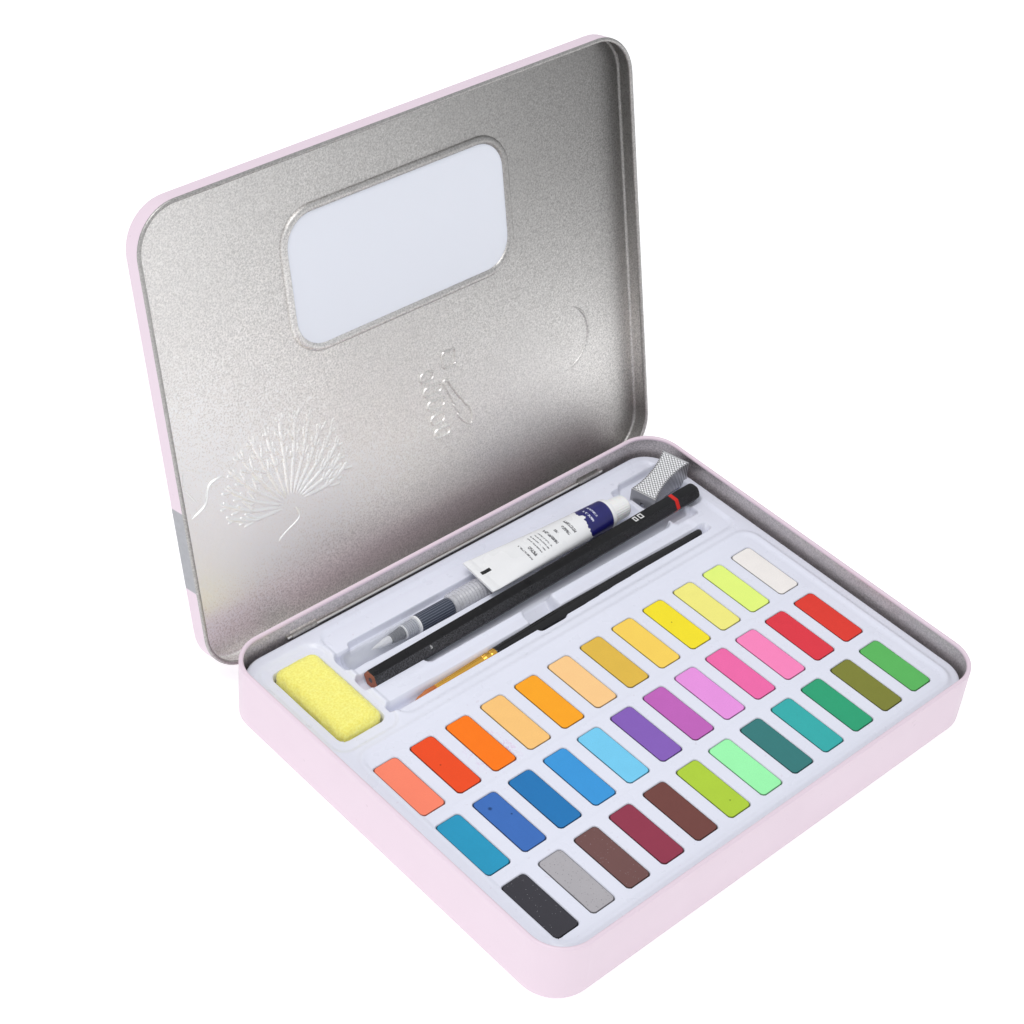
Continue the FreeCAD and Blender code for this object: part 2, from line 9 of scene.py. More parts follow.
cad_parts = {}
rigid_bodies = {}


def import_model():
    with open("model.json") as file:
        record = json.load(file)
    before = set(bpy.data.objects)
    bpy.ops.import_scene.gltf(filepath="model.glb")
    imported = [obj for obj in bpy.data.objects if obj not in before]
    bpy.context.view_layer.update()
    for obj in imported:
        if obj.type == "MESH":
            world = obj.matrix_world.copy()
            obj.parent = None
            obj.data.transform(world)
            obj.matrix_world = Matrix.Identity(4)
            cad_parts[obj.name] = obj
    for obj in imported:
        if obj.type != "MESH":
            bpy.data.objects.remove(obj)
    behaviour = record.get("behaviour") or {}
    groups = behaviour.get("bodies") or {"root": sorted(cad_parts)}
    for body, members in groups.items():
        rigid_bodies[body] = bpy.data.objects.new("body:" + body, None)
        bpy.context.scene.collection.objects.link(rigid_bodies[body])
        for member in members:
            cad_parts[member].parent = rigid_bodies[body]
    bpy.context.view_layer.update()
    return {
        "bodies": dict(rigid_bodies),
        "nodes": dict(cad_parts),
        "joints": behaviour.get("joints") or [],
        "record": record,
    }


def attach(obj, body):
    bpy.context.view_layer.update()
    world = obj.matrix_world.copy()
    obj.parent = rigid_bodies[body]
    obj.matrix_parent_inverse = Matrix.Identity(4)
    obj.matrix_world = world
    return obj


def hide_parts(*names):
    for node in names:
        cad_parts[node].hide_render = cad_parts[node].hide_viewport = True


# Looks of the watercolour pan set. Shapes are worked out in millimetres and made in metres.
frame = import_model()
NODES = frame["nodes"]
MM = 0.001

# Places and sizes that match the CAD model, in millimetres.
TIN_HALF = (114.0, 91.5)
TIN_CORNER = 15.5
TRAY_HALF = (111.7, 89.2)
TRAY_CORNER = 13.2
TRAY_TOP = 17.5
TRAY_FOOT = 0.5
ROD = (90.5, 17.3)
LID_ANGLE = math.radians(103.15)
LID_HALF = (117.0, 93.9)
LID_X = -0.4
LID_CORNER = 17.9
LID_TOP = 28.8
SHEET = 0.4
LID_EDGE = 20.2
BEND = 1.6
CAKE = (11.4, 28.6)
CAKE_Z = (12.0, 17.4)
CAKE_PITCH = (17.2, 34.4)
CAKE_CENTRE = (-1.4, -29.9)


# ---- meshes

def add_piece(name, points, faces, body, slot, nodes=(), materials=(), attributes=None,
              face_materials=None, sharp=None):
    """A mesh piece from points in millimetres, riding on a body."""
    mesh = bpy.data.meshes.new(name)
    mesh.from_pydata((np.asarray(points, float) * MM).tolist(), [], faces)
    mesh.polygons.foreach_set("use_smooth", [True] * len(mesh.polygons))
    for key, values in (attributes or {}).items():
        layer = mesh.attributes.new(key, "FLOAT", "POINT")
        layer.data.foreach_set("value", np.asarray(values, np.float32))
    for finish in materials:
        mesh.materials.append(finish.material)
    if face_materials is not None:
        mesh.polygons.foreach_set("material_index", face_materials)
    mesh.validate()
    mesh.update()
    if sharp:
        mesh.set_sharp_from_angle(angle=math.radians(sharp))
    obj = bpy.data.objects.new(name, mesh)
    bpy.context.scene.collection.objects.link(obj)
    if nodes:
        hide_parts(*nodes)
    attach(obj, body)
    return obj


def grid_faces(rows, columns, wrap=False, offset=0):
    """Quads over a grid of points stored row by row."""
    faces = []
    last = columns if wrap else columns - 1
    for r in range(rows - 1):
        a = offset + r * columns
        b = a + columns
        for c in range(last):
            d = (c + 1) % columns
            faces.append((a + c, a + d, b + d, b + c))
    return faces


def placed(points, start, end, roll=0.0):
    """Points made along X from the origin, laid from one place towards another."""
    start = Vector(start)
    axis = Vector(end) - start
    turn = Vector((1, 0, 0)).rotation_difference(axis)
    turn = turn @ Quaternion((1, 0, 0), math.radians(roll))
    matrix = np.array(turn.to_matrix())
    return np.asarray(points, float) @ matrix.T + np.array(start)


def length_between(start, end):
    return (Vector(end) - Vector(start)).length


def loft(sections):
    """Points and faces of closed rings joined in order, with both ends capped."""
    count = len(sections[0])
    points = np.concatenate(list(sections) + [[np.mean(sections[i], axis=0)] for i in (0, -1)])
    faces = grid_faces(len(sections), count, wrap=True)
    middle = len(sections) * count
    last = middle - count
    for c in range(count):
        d = (c + 1) % count
        faces += [(d, c, middle), (last + c, last + d, middle + 1)]
    return points, faces


def turned(stations, count=48, ribs=0, rib_depth=0.0, rib_range=None):
    """A lathe shape about X from (x, radius) stations, with attributes along and around."""
    sections = []
    angles = np.linspace(0, 2 * math.pi, count, endpoint=False)
    for x, radius in stations:
        r = np.full(count, max(radius, 0.001))
        if ribs and (rib_range is None or rib_range[0] <= x <= rib_range[1]):
            r = r - rib_depth * (0.5 + 0.5 * np.cos(ribs * angles)) ** 2
        sections.append(np.stack([np.full(count, x), r * np.cos(angles), r * np.sin(angles)], 1))
    points, faces = loft(sections)
    return points, faces, placing(points)


def placing(points):
    """How far along and around the X axis each point lies, in millimetres and degrees."""
    return {"along": points[:, 0].copy(), "around": np.degrees(np.arctan2(points[:, 2], points[:, 1]))}


def lathe(name, rows, lay, body, slot, finish, nodes=(), count=48, sharp=None, **ribs):
    """A turned piece, laid in its place and given its finish."""
    points, faces, attributes = turned(rows, count, **ribs)
    add_piece(name, lay(points), faces, body, slot, nodes, [finish], attributes, sharp=sharp)


def hair(n, low, high, strength):
    """Fine lengthwise strands, as a tone and a bump."""
    strand = n.noise(2400.0, 3.0, n.stretched((0.06, 1.0, 1.0)))
    n.bump(strand, strength, 0.0003)
    return n.mix(strand, shade(low), shade(high))


def superellipse(x, angles, half_width, half_height, power):
    """A ring that is round at power 2 and squarer above it."""
    c, s = np.cos(angles), np.sin(angles)
    y = half_width * np.sign(c) * np.abs(c) ** (2 / power)
    z = half_height * np.sign(s) * np.abs(s) ** (2 / power)
    return np.column_stack([np.full(len(angles), x), y, z])


def eased(stations, step=1.0):
    """More stations between the given ones, with smooth changes of radius."""
    out = []
    for (x0, r0), (x1, r1) in zip(stations, stations[1:]):
        count = max(1, round(abs(x1 - x0) / step))
        for i in range(count):
            share = i / count
            out.append((x0 + (x1 - x0) * share, r0 + (r1 - r0) * (share * share * (3 - 2 * share))))
    out.append(stations[-1])
    return out


def rounded_ring(half_x, half_y, radius, per_corner=7, per_side=6):
    """Points round a rectangle with round corners."""
    radius = min(radius, half_x, half_y)
    corners = []
    for k, (sx, sy) in enumerate(((1, 1), (-1, 1), (-1, -1), (1, -1))):
        angles = np.radians(np.linspace(90 * k, 90 * k + 90, per_corner))
        corners.append(np.column_stack([sx * (half_x - radius) + radius * np.cos(angles),
                                        sy * (half_y - radius) + radius * np.sin(angles)]))
    share = (np.arange(1, per_side) / per_side)[:, None]
    points = []
    for corner, following in zip(corners, corners[1:] + corners[:1]):
        points += [corner, corner[-1] * (1 - share) + following[0] * share]
    return np.concatenate(points)


def rounded_distance(x, y, box, radius):
    """Signed distance to a rectangle with round corners, below zero inside it."""
    x0, x1, y0, y1 = box
    qx = np.abs(x - (x0 + x1) / 2) - (x1 - x0) / 2 + radius
    qy = np.abs(y - (y0 + y1) / 2) - (y1 - y0) / 2 + radius
    outside = np.hypot(np.maximum(qx, 0), np.maximum(qy, 0))
    return outside + np.minimum(np.maximum(qx, qy), 0) - radius


def flipped(faces):
    return [tuple(reversed(f)) for f in faces]


def ease(t):
    t = np.clip(t, 0, 1)
    return t * t * (3 - 2 * t)


def smooth_min(a, b, k):
    h = np.clip(0.5 + 0.5 * (b - a) / k, 0, 1)
    return b * (1 - h) + a * h - k * h * (1 - h)


def opened(points):
    """Points of the shut lid turned open about the hinge rod."""
    x, y, z = np.array(points, float).T
    y, z = y - ROD[0], z - ROD[1]
    c, s = math.cos(-LID_ANGLE), math.sin(-LID_ANGLE)
    return np.column_stack([x, c * y - s * z + ROD[0], s * y + c * z + ROD[1]])


# ---- materials

def linear(rgb):
    return [((c / 255 + 0.055) / 1.055) ** 2.4 if c > 10 else c / 255 / 12.92 for c in rgb]


class Nodes:
    """A short way to write a material's nodes."""

    def __init__(self, name, rgb, roughness=0.5, metallic=0.0, **sockets):
        self.material = bpy.data.materials.new(name)
        self.material.use_nodes = True
        self.tree = self.material.node_tree
        self.shader = self.tree.nodes["Principled BSDF"]
        self.set("Base Color", tuple(linear(rgb)))
        self.set("Roughness", roughness)
        self.set("Metallic", metallic)
        for key, value in sockets.items():
            self.set(key.replace("_", " "), value)
        self.coordinates = self.node("ShaderNodeTexCoord")["Object"]

    def node(self, kind, wires=(), **settings):
        """A new node with its settings made and its inputs wired; gives its outputs."""
        node = self.tree.nodes.new(kind)
        for key, value in settings.items():
            setattr(node, key, value)
        for key, value in dict(wires).items():
            self.wire(value, node.inputs[key])
        return node.outputs

    def wire(self, value, socket):
        if isinstance(value, bpy.types.NodeSocket):
            self.tree.links.new(value, socket)
        else:
            if isinstance(value, (tuple, list)) and len(value) == 3 and socket.type == "RGBA":
                value = tuple(value) + (1.0,)
            socket.default_value = value

    def set(self, name, value):
        self.wire(value, self.shader.inputs[name])

    def paint(self, tone):
        self.set("Base Color", tone)

    def math(self, operation, *values):
        values += (0.0,) * (3 - len(values))
        return self.node("ShaderNodeMath", enumerate(values), operation=operation)[0]

    def mul(self, a, b):
        return self.math("MULTIPLY", a, b)

    def add(self, a, b):
        return self.math("ADD", a, b)

    def sub(self, a, b):
        return self.math("SUBTRACT", a, b)

    def most(self, a, b):
        return self.math("MAXIMUM", a, b)

    def noise(self, scale, detail=2.0, vector=None, roughness=0.5, distortion=0.0):
        wires = {"Vector": vector or self.coordinates, "Scale": scale, "Detail": detail,
                 "Roughness": roughness, "Distortion": distortion}
        return self.node("ShaderNodeTexNoise", wires)["Fac"]

    def cells(self, scale):
        wires = {"Vector": self.coordinates, "Scale": scale}
        return self.node("ShaderNodeTexVoronoi", wires)["Distance"]

    def span(self, value, low, high, to_low=0.0, to_high=1.0, smooth=True):
        wires = {"Value": value, "From Min": low, "From Max": high,
                 "To Min": to_low, "To Max": to_high}
        kind = "SMOOTHSTEP" if smooth else "LINEAR"
        return self.node("ShaderNodeMapRange", wires, interpolation_type=kind)["Result"]

    def mix(self, share, a, b, blend="MIX"):
        wires = {0: share, 6: a, 7: b}
        return self.node("ShaderNodeMix", wires, data_type="RGBA", blend_type=blend)[2]

    def over(self, tone, rgb, mask, strength):
        """A tone with another colour over it, where and as strongly as asked."""
        return self.mix(self.mul(mask, strength), tone, shade(rgb))

    def attribute(self, name):
        return self.node("ShaderNodeAttribute", attribute_name=name)["Fac"]

    def axes(self, vector=None):
        return tuple(self.node("ShaderNodeSeparateXYZ", {0: vector or self.coordinates}))

    def stretched(self, scale):
        return self.node("ShaderNodeMapping", {"Vector": self.coordinates, "Scale": scale})[0]

    def bump(self, height, strength, distance=0.0002):
        wires = {"Height": height, "Strength": strength, "Distance": distance}
        self.set("Normal", self.node("ShaderNodeBump", wires)[0])

    def gloss(self, value, low, high):
        """Roughness between two limits, by the middle of a noise."""
        self.set("Roughness", self.span(value, 0.3, 0.7, low, high))

    def between(self, value, low, high, soft=0.1):
        """One where a value lies between two limits."""
        up = self.span(value, low - soft, low + soft)
        return self.mul(up, self.span(value, high - soft, high + soft, 1.0, 0.0))

    def patch(self, first, second):
        """One where two values both lie between their limits."""
        return self.mul(self.between(*first), self.between(*second))

    def near(self, point, radius, soft):
        """One near a point, in millimetres."""
        wires = {0: self.coordinates, 1: [v * MM for v in point]}
        gap = self.node("ShaderNodeVectorMath", wires, operation="DISTANCE")["Value"]
        return self.span(gap, (radius - soft) * MM, (radius + soft) * MM, 1.0, 0.0)


def shade(rgb, factor=1.0):
    return tuple(min(1.0, c * factor) for c in linear(rgb))


def plain(name, rgb, roughness=0.4, metallic=0.0, grain=1500.0, grain_strength=0.1,
          variation=0.08, **sockets):
    """A finish with gentle colour variation, uneven gloss and a fine surface grain."""
    n = Nodes(name, rgb, roughness, metallic, **sockets)
    cloud = n.noise(90.0, 4.0)
    tone = n.mix(cloud, shade(rgb, 1 - variation), shade(rgb, 1 + variation))
    n.paint(tone)
    n.gloss(n.noise(240.0, 3.0), roughness * 0.85, roughness * 1.15)
    n.bump(n.noise(grain, 2.0), grain_strength, 0.0001)
    return n


def panel_distance(n, x, y, half, corner, centre_x=0.0):
    """Signed distance to a tin or lid outline, in metres, in nodes."""
    ax = n.math("ABSOLUTE", n.sub(x, centre_x * MM))
    ay = n.math("ABSOLUTE", y)
    qx = n.sub(ax, (half[0] - corner) * MM)
    qy = n.sub(ay, (half[1] - corner) * MM)
    px = n.most(qx, 0.0)
    py = n.most(qy, 0.0)
    out = n.math("SQRT", n.add(n.mul(px, px), n.mul(py, py)))
    inner = n.math("MINIMUM", n.most(qx, qy), 0.0)
    return n.sub(n.add(out, inner), corner * MM)


PINK = (228, 209, 221)
STEEL = (180, 178, 176)


def painted_tin(name, inner_rgb, is_lid, outside):
    """Sheet metal that is bare and satin inside and painted pink outside."""
    n = Nodes(name, PINK, 0.4)
    place = n.coordinates
    if is_lid:
        wires = {"Vector": place, "Center": (0, ROD[0] * MM, ROD[1] * MM), "Angle": LID_ANGLE}
        place = n.node("ShaderNodeVectorRotate", wires, rotation_type="X_AXIS")[0]
    x, y, z = n.axes(place)
    mask = outside(n, x, y, z)
    fine = n.noise(1500.0, 2.0, roughness=0.7)
    medium = n.noise(900.0, 2.0)
    cloud = n.noise(14.0, 3.0)
    speck = n.span(fine, 0.35, 0.65, smooth=False)
    steel = n.mix(speck, shade(inner_rgb, 0.74), shade(inner_rgb, 1.2))
    steel = n.mix(n.span(cloud, 0.35, 0.65, 0.0, 0.35), steel, shade(inner_rgb, 0.88))
    if is_lid:
        # painted reflection on the bare panel: it is painted duller towards its right and outer edges
        # and brighter towards its left
        across = n.span(x, -0.117, 0.117, 1.0, 0.0, smooth=False)
        down = n.mul(n.span(y, -0.094, 0.04, smooth=False), n.span(y, 0.05, 0.1, 1.0, 0.4))
        painted_reflection = n.add(n.mul(n.math("POWER", across, 1.4), 0.63),
                      n.mul(n.math("POWER", down, 2.2), 0.48))
        least_reflection = 0.27
        painted_reflection = n.math("DIVIDE", n.add(painted_reflection, least_reflection), linear(inner_rgb)[0])
        panel = n.span(z, (LID_TOP - 7.0) * MM, (LID_TOP - 5.5) * MM)
        painted_reflection = n.add(n.mul(painted_reflection, panel), n.sub(1.0, panel))
        reflection_tint = n.node("ShaderNodeCombineColor", {0: painted_reflection, 1: painted_reflection, 2: painted_reflection})[0]
        steel = n.mix(1.0, steel, reflection_tint, "MULTIPLY")
    paint = n.mix(n.noise(60.0, 3.0), shade(PINK, 0.985), shade(PINK, 1.015))
    dust = n.math("GREATER_THAN", n.noise(420.0, 1.0), 0.79)
    paint = n.over(paint, (180, 160, 172), dust, 0.25)
    n.paint(n.mix(mask, steel, paint))
    n.set("Metallic", n.sub(1.0, mask))
    rough = n.span(medium, 0.3, 0.7, 0.42, 0.52)
    paint_rough = n.span(n.noise(50.0, 2.0), 0.3, 0.7, 0.36, 0.44)
    n.set("Roughness", n.add(n.mul(rough, n.sub(1.0, mask)),
                              n.mul(paint_rough, mask)))
    grain = n.mul(n.add(n.mul(fine, 0.6), medium),
                   n.sub(1.0, n.mul(mask, 0.93)))
    n.bump(grain, 0.6, 0.00016)
    return n, x, y, z, mask


def outer_skin(n, edge, rise):
    """One on the outer face of a wall that bends into a flat panel."""
    px = n.most(n.add(edge, BEND * MM), 0.0)
    pz = n.most(rise, 0.0)
    reach = n.math("SQRT", n.add(n.mul(px, px), n.mul(pz, pz)))
    return n.math("GREATER_THAN", reach, (BEND - 0.2) * MM)


def base_material():
    def outside(n, x, y, z):
        edge = panel_distance(n, x, y, TIN_HALF, TIN_CORNER)
        skin = outer_skin(n, edge, n.sub(BEND * MM, z))
        bead = n.math("GREATER_THAN", z, 25.3 * MM)
        return n.most(skin, bead)

    return painted_tin("tin_paint", (214, 208, 206), False, outside)[0]


def lid_material():
    def outside(n, x, y, z):
        edge = panel_distance(n, x, y, LID_HALF, LID_CORNER, LID_X)
        skin = outer_skin(n, edge, n.sub(z, (LID_TOP - BEND) * MM))
        return n.mul(skin, n.math("GREATER_THAN", z, (LID_EDGE + 0.75) * MM))

    n, x, y, z, mask = painted_tin("lid_metal", STEEL, True, outside)
    # a grey band printed round the left side of the skirt
    band = n.between(n.sub(LID_HALF[1] * MM, y), 0.0385, 0.0725, 0.0003)
    left = n.math("LESS_THAN", x, -0.1165)
    band = n.mul(n.mul(band, left), mask)
    streak = n.noise(500.0, 3.0)
    grey = n.mix(streak, shade((150, 151, 156)), shade((172, 173, 178)))
    base = n.shader.inputs["Base Color"].links[0].from_socket
    n.paint(n.mix(band, base, grey))
    return n


def cake_material(name, rgb, speckle, speckle_rgb, pits):
    """Dried watercolour: matte, finely grained, with painted shade where it meets the pocket and in its
    pits.
    """
    n = Nodes("paint_" + name, rgb, 0.75, Specular_IOR_Level=0.18)
    grain = n.noise(1900.0, 3.0, roughness=0.65)
    cloud = n.noise(160.0, 4.0, distortion=0.4)
    tone = n.mix(n.span(grain, 0.25, 0.75, smooth=False), shade(rgb, 0.93), shade(rgb, 1.07))
    tone = n.mix(n.span(cloud, 0.3, 0.7, 0.0, 0.5), tone, shade(rgb, 0.95))
    if speckle:
        spots = n.math("LESS_THAN", n.cells(900.0), speckle)
        tone = n.over(tone, speckle_rgb, spots, 0.55)
    # painted shade: the paint darkens to a deep tone of its own colour at its edge, where the pocket
    # shades it
    rim = n.attribute("edge")
    dark = tuple(c * 0.22 for c in linear(rgb))
    tone = n.mix(n.span(rim, 0.1, 0.6), tone, dark)
    height = n.add(n.mul(grain, 0.5), n.mul(cloud, 1.2))
    # each pit gets painted shade as well as a dent in the bump
    for place, radius in pits:
        pit = n.near(place, radius, radius * 0.5)
        tone = n.mix(n.mul(pit, 0.75), tone, dark)
        height = n.sub(height, n.mul(pit, 2.0))
    n.paint(tone)
    n.gloss(grain, 0.62, 0.8)
    n.bump(height, 0.35, 0.00015)
    return n


# ---- camera, light, stage

def make_camera():
    data = bpy.data.cameras.new("camera")
    data.sensor_width = 36.0
    data.lens = 74.48
    data.clip_start = 0.01
    camera = bpy.data.objects.new("camera", data)
    bpy.context.scene.collection.objects.link(camera)
    look = Vector((0.5521, 0.5265, -0.6465)).normalized()
    flat_right = look.cross(Vector((0, 0, 1))).normalized()
    flat_up = flat_right.cross(look)
    roll = math.radians(6.15)
    right = math.cos(roll) * flat_right + math.sin(roll) * flat_up
    up = math.cos(roll) * flat_up - math.sin(roll) * flat_right
    rotation = np.array([right, up, -look]).T
    place = Matrix.Translation((-0.4479, -0.3671, 0.5831))
    camera.matrix_world = place @ Matrix(rotation.tolist()).to_4x4()
    bpy.context.scene.camera = camera


def area_light(name, place, target, size, power, colour=(1, 1, 1)):
    data = bpy.data.lights.new(name, "AREA")
    data.shape = "RECTANGLE"
    data.size, data.size_y = size
    data.energy = power
    data.color = colour
    light = bpy.data.objects.new(name, data)
    light.location = place
    light.rotation_euler = (Vector(target) - Vector(place)).to_track_quat("-Z", "Y").to_euler()
    bpy.context.scene.collection.objects.link(light)


def make_stage():
    scene = bpy.context.scene
    scene.view_settings.view_transform = "Standard"
    scene.world = bpy.data.worlds.new("studio")
    scene.world.use_nodes = True
    background = scene.world.node_tree.nodes["Background"].inputs
    background["Color"].default_value = (0.95, 0.97, 1.0, 1)
    background["Strength"].default_value = 0.65
    area_light("key", (-0.42, -0.12, 1.3), (0, 0, 0.02), (0.7, 0.7), 8.0, (1.0, 0.99, 0.98))
    area_light("side", (-0.9, -0.3, 0.5), (-0.02, 0.06, 0.08), (0.5, 0.4), 0.6)
    mesh = bpy.data.meshes.new("floor")
    size = 2.5
    mesh.from_pydata([(-size, -size, 0), (size, -size, 0), (size, size, 0), (-size, size, 0)],
                     [], [(0, 1, 2, 3)])
    floor = bpy.data.objects.new("floor", mesh)
    scene.collection.objects.link(floor)
    n = Nodes("floor", (250, 250, 250), 0.9, Specular_IOR_Level=0.1)
    cloud = n.noise(3.0, 2.0)
    n.paint(n.mix(cloud, (0.81, 0.81, 0.81, 1), (0.82, 0.82, 0.82, 1)))
    n.set("Emission Color", (1.0, 1.0, 1.0, 1.0))
    n.set("Emission Strength", 0.45)
    mesh.materials.append(n.material)


# ---- tin and lid

def finish_metal():
    dress("base_shell", base_material())
    lid = lid_material()
    dress("lid_shell", lid)
    dress("hinge_rod", plain("steel_wire", (232, 231, 228), 0.4, 1.0, 2500.0, 0.1))
    dress("window_film", plain("window_film", (232, 235, 244), 0.4, 0.0, 60.0, 0.01, 0.003, Alpha=0.93))
    return lid


def dress(node, finish):
    """Gives a CAD node its finished material."""
    mesh = NODES[node].data
    if not mesh.materials:
        mesh.materials.append(None)
    for i in range(len(mesh.materials)):
        mesh.materials[i] = finish.material


def ridge(path, width, height, closed):
    """A low half-round ridge along a path on the inside of the shut lid."""
    path = np.array(path, float)
    if closed:
        path = np.vstack([path, path[:2]])
    tangent = np.gradient(path, axis=0)
    tangent /= np.maximum(np.linalg.norm(tangent, axis=1, keepdims=True), 1e-9)
    side = np.stack([-tangent[:, 1], tangent[:, 0]], 1)
    grow = np.ones(len(path))
    if not closed:
        share = np.linspace(0, 1, len(path))
        grow = np.minimum(1, np.minimum(share, 1 - share) * 6 + 0.12)
    points = []
    for at, away, size in zip(path, side, grow):
        for across, down in ((-1, -0.03), (-0.6, 0.62), (0, 1.0), (0.6, 0.62), (1, -0.03)):
            q = at + away * across * width / 2 * size
            points.append((q[0], q[1], LID_TOP - SHEET - down * height * size))
    return points, grid_faces(len(path), 5)


def smooth_path(points, count=24):
    """A smooth path through a few points."""
    points = np.array(points, float)
    last = len(points) - 1
    steps = max(2, count // last)
    out = []
    for i in range(last):
        p0, p1, p2, p3 = (points[min(max(j, 0), last)] for j in range(i - 1, i + 3))
        for t in np.arange(steps) / steps:
            out.append(0.5 * ((2 * p1) + (p2 - p0) * t + (2 * p0 - 5 * p1 + 4 * p2 - p3) * t * t
                              + (3 * p1 - p0 - 3 * p2 + p3) * t ** 3))
    return np.array(out + [points[-1]])


def unit(angle):
    return np.array([math.cos(angle), math.sin(angle)])


def joined(shapes):
    """One set of points and faces from several."""
    points, faces = [], []
    for more, quads in shapes:
        base = len(points)
        points += more
        faces += [tuple(base + v for v in quad) for quad in quads]
    return points, faces


def twig_fan(foot, rng):
    """Paths, widths and heights of stems that spread from a foot, with twigs on both sides."""
    stems = 15
    for k in range(stems):
        share = k / (stems - 1)
        angle = math.radians(196 + 150 * share)
        reach = 31 + 9 * math.sin(math.pi * min(1, share * 1.1)) + rng.uniform(-2, 2)
        direction = unit(angle)
        side = np.array([-direction[1], direction[0]])
        begin = foot + direction * (4 + 5 * abs(math.sin(3.1 * k)))
        tip = foot + direction * reach
        bow = side * (share - 0.5) * 5
        stem = smooth_path([begin, (begin + tip) / 2 + bow, tip], 16)
        yield stem, 1.8, 0.49
        for t in (0.45, 0.66, 0.86):
            at = stem[int(t * (len(stem) - 1))]
            for sign in (-1, 1):
                lean = angle + sign * math.radians(rng.uniform(20, 34))
                end = at + rng.uniform(3.5, 8.5) * (1.15 - t * 0.5) * unit(lean)
                yield smooth_path([at, (at + end) / 2 + 0.4 * side * sign, end], 8), 1.3, 0.37


def lid_embossing(finish):
    """Low pressed ridges inside the lid: a fan of twigs, bars, a brush outline and an arc."""
    foot = np.array([-66.5, 44.5])
    lines = list(twig_fan(foot, random.Random(7)))
    # the ground line, the foot and a leaf
    for path, steps, width, height in (
            ([(-109.5, 30), (-103, 27), (-100, 20), (-93, 18.5)], 20, 1.3, 0.6),
            ([foot + (2, 0), (-63, 50), (-71, 54), (-74, 56)], 16, 0.9, 0.3),
            ([(-109, 9), (-110.5, 16), (-106, 25)], 16, 0.7, 0.25),
            ([(-109, 9), (-104.5, 12), (-101.5, 13.5)], 12, 0.6, 0.2)):
        lines.append((smooth_path(path, steps), width, height))
    # a short column of plain bars
    loops = []
    for k, width in enumerate((7, 9, 9, 7, 8)):
        middle = (1.2 + k * 1.1 + width / 2, 17.5 + k * 6.6)
        loops.append((rounded_ring(width / 2, 1.9, 1.8, 5, 3) + middle, 1.2, 0.8))
    # a plain paintbrush outline
    half = [(0, 1), (11, 1.7), (12, 2.2), (16.5, 2.3), (17, 2.9), (21, 2.6), (26, 0)]
    brush = [(x, -y) for x, y in half[:-1]] + half[::-1]
    c, s = unit(math.radians(64))
    outline = smooth_path(np.array(brush + brush[:1]) @ np.array([[c, s], [-s, c]]), 60)[:-1]
    loops.append((outline + (13.5, 23.0), 1.4, 0.85))
    loops.append((rounded_ring(3.4, 3.4, 1.2, 4, 3) + (16.5, 14.0), 1.1, 0.7))
    tick = np.array([(0, 0), (0.05, 0.5), (0.1, 1.0)])
    dashes = [(tick + (15.5 + 0.95 * k, 20.3 - 0.15 * k), 0.35, 0.15) for k in range(12)]
    arc = np.array([(77.0, 29.3) + 14.4 * unit(a) for a in np.radians(np.linspace(-62, 92, 40))])
    shapes = [ridge(*line, False) for line in lines] + [ridge(*loop, True) for loop in loops]
    shapes += [ridge(*line, False) for line in dashes + [(arc, 1.3, 0.55)]]
    points, faces = joined(shapes)
    add_piece("lid_embossing", opened(points), faces, "lid", "lid_metal", materials=[finish])


# ---- tray and cakes

def cake_places():
    places = []
    for row in range(3):
        for column in range(12):
            x = CAKE_CENTRE[0] + CAKE_PITCH[0] * (column - 5.5)
            y = CAKE_CENTRE[1] + CAKE_PITCH[1] * (1 - row)
            places.append((row + 1, column + 1, x, y))
    return places


def lines(low, high, edges, gap):
    """Grid lines from low to high, close together near the edges."""
    marks = [low, high]
    for e in edges:
        for d in (-1.0, -0.65, -0.4, -0.2, 0.0, 0.2, 0.4, 0.65, 1.0, 1.5):
            marks += [e + d, e - d]
    marks = sorted(m for m in set(round(m, 3) for m in marks) if low <= m <= high)
    kept = [marks[0]]
    for m in marks[1:]:
        if m - kept[-1] >= 0.14 or m == high:
            kept.append(m)
    out = []
    for a, b in zip(kept, kept[1:]):
        steps = max(1, math.ceil((b - a) / gap))
        out += [a + (b - a) * i / steps for i in range(steps)]
    return np.array(out + [kept[-1]])


def groove(x, y, box, radius, floor, curve, wall):
    """Height of a long well with a rounded floor."""
    centre = (box[2] + box[3]) / 2
    bottom = floor + np.minimum((y - centre) ** 2, 144.0) / (2 * curve)
    d = rounded_distance(x, y, box, radius)
    return bottom + (TRAY_TOP - floor + 1.2) * ease((d + wall) / wall) + np.maximum(d, 0) * 3


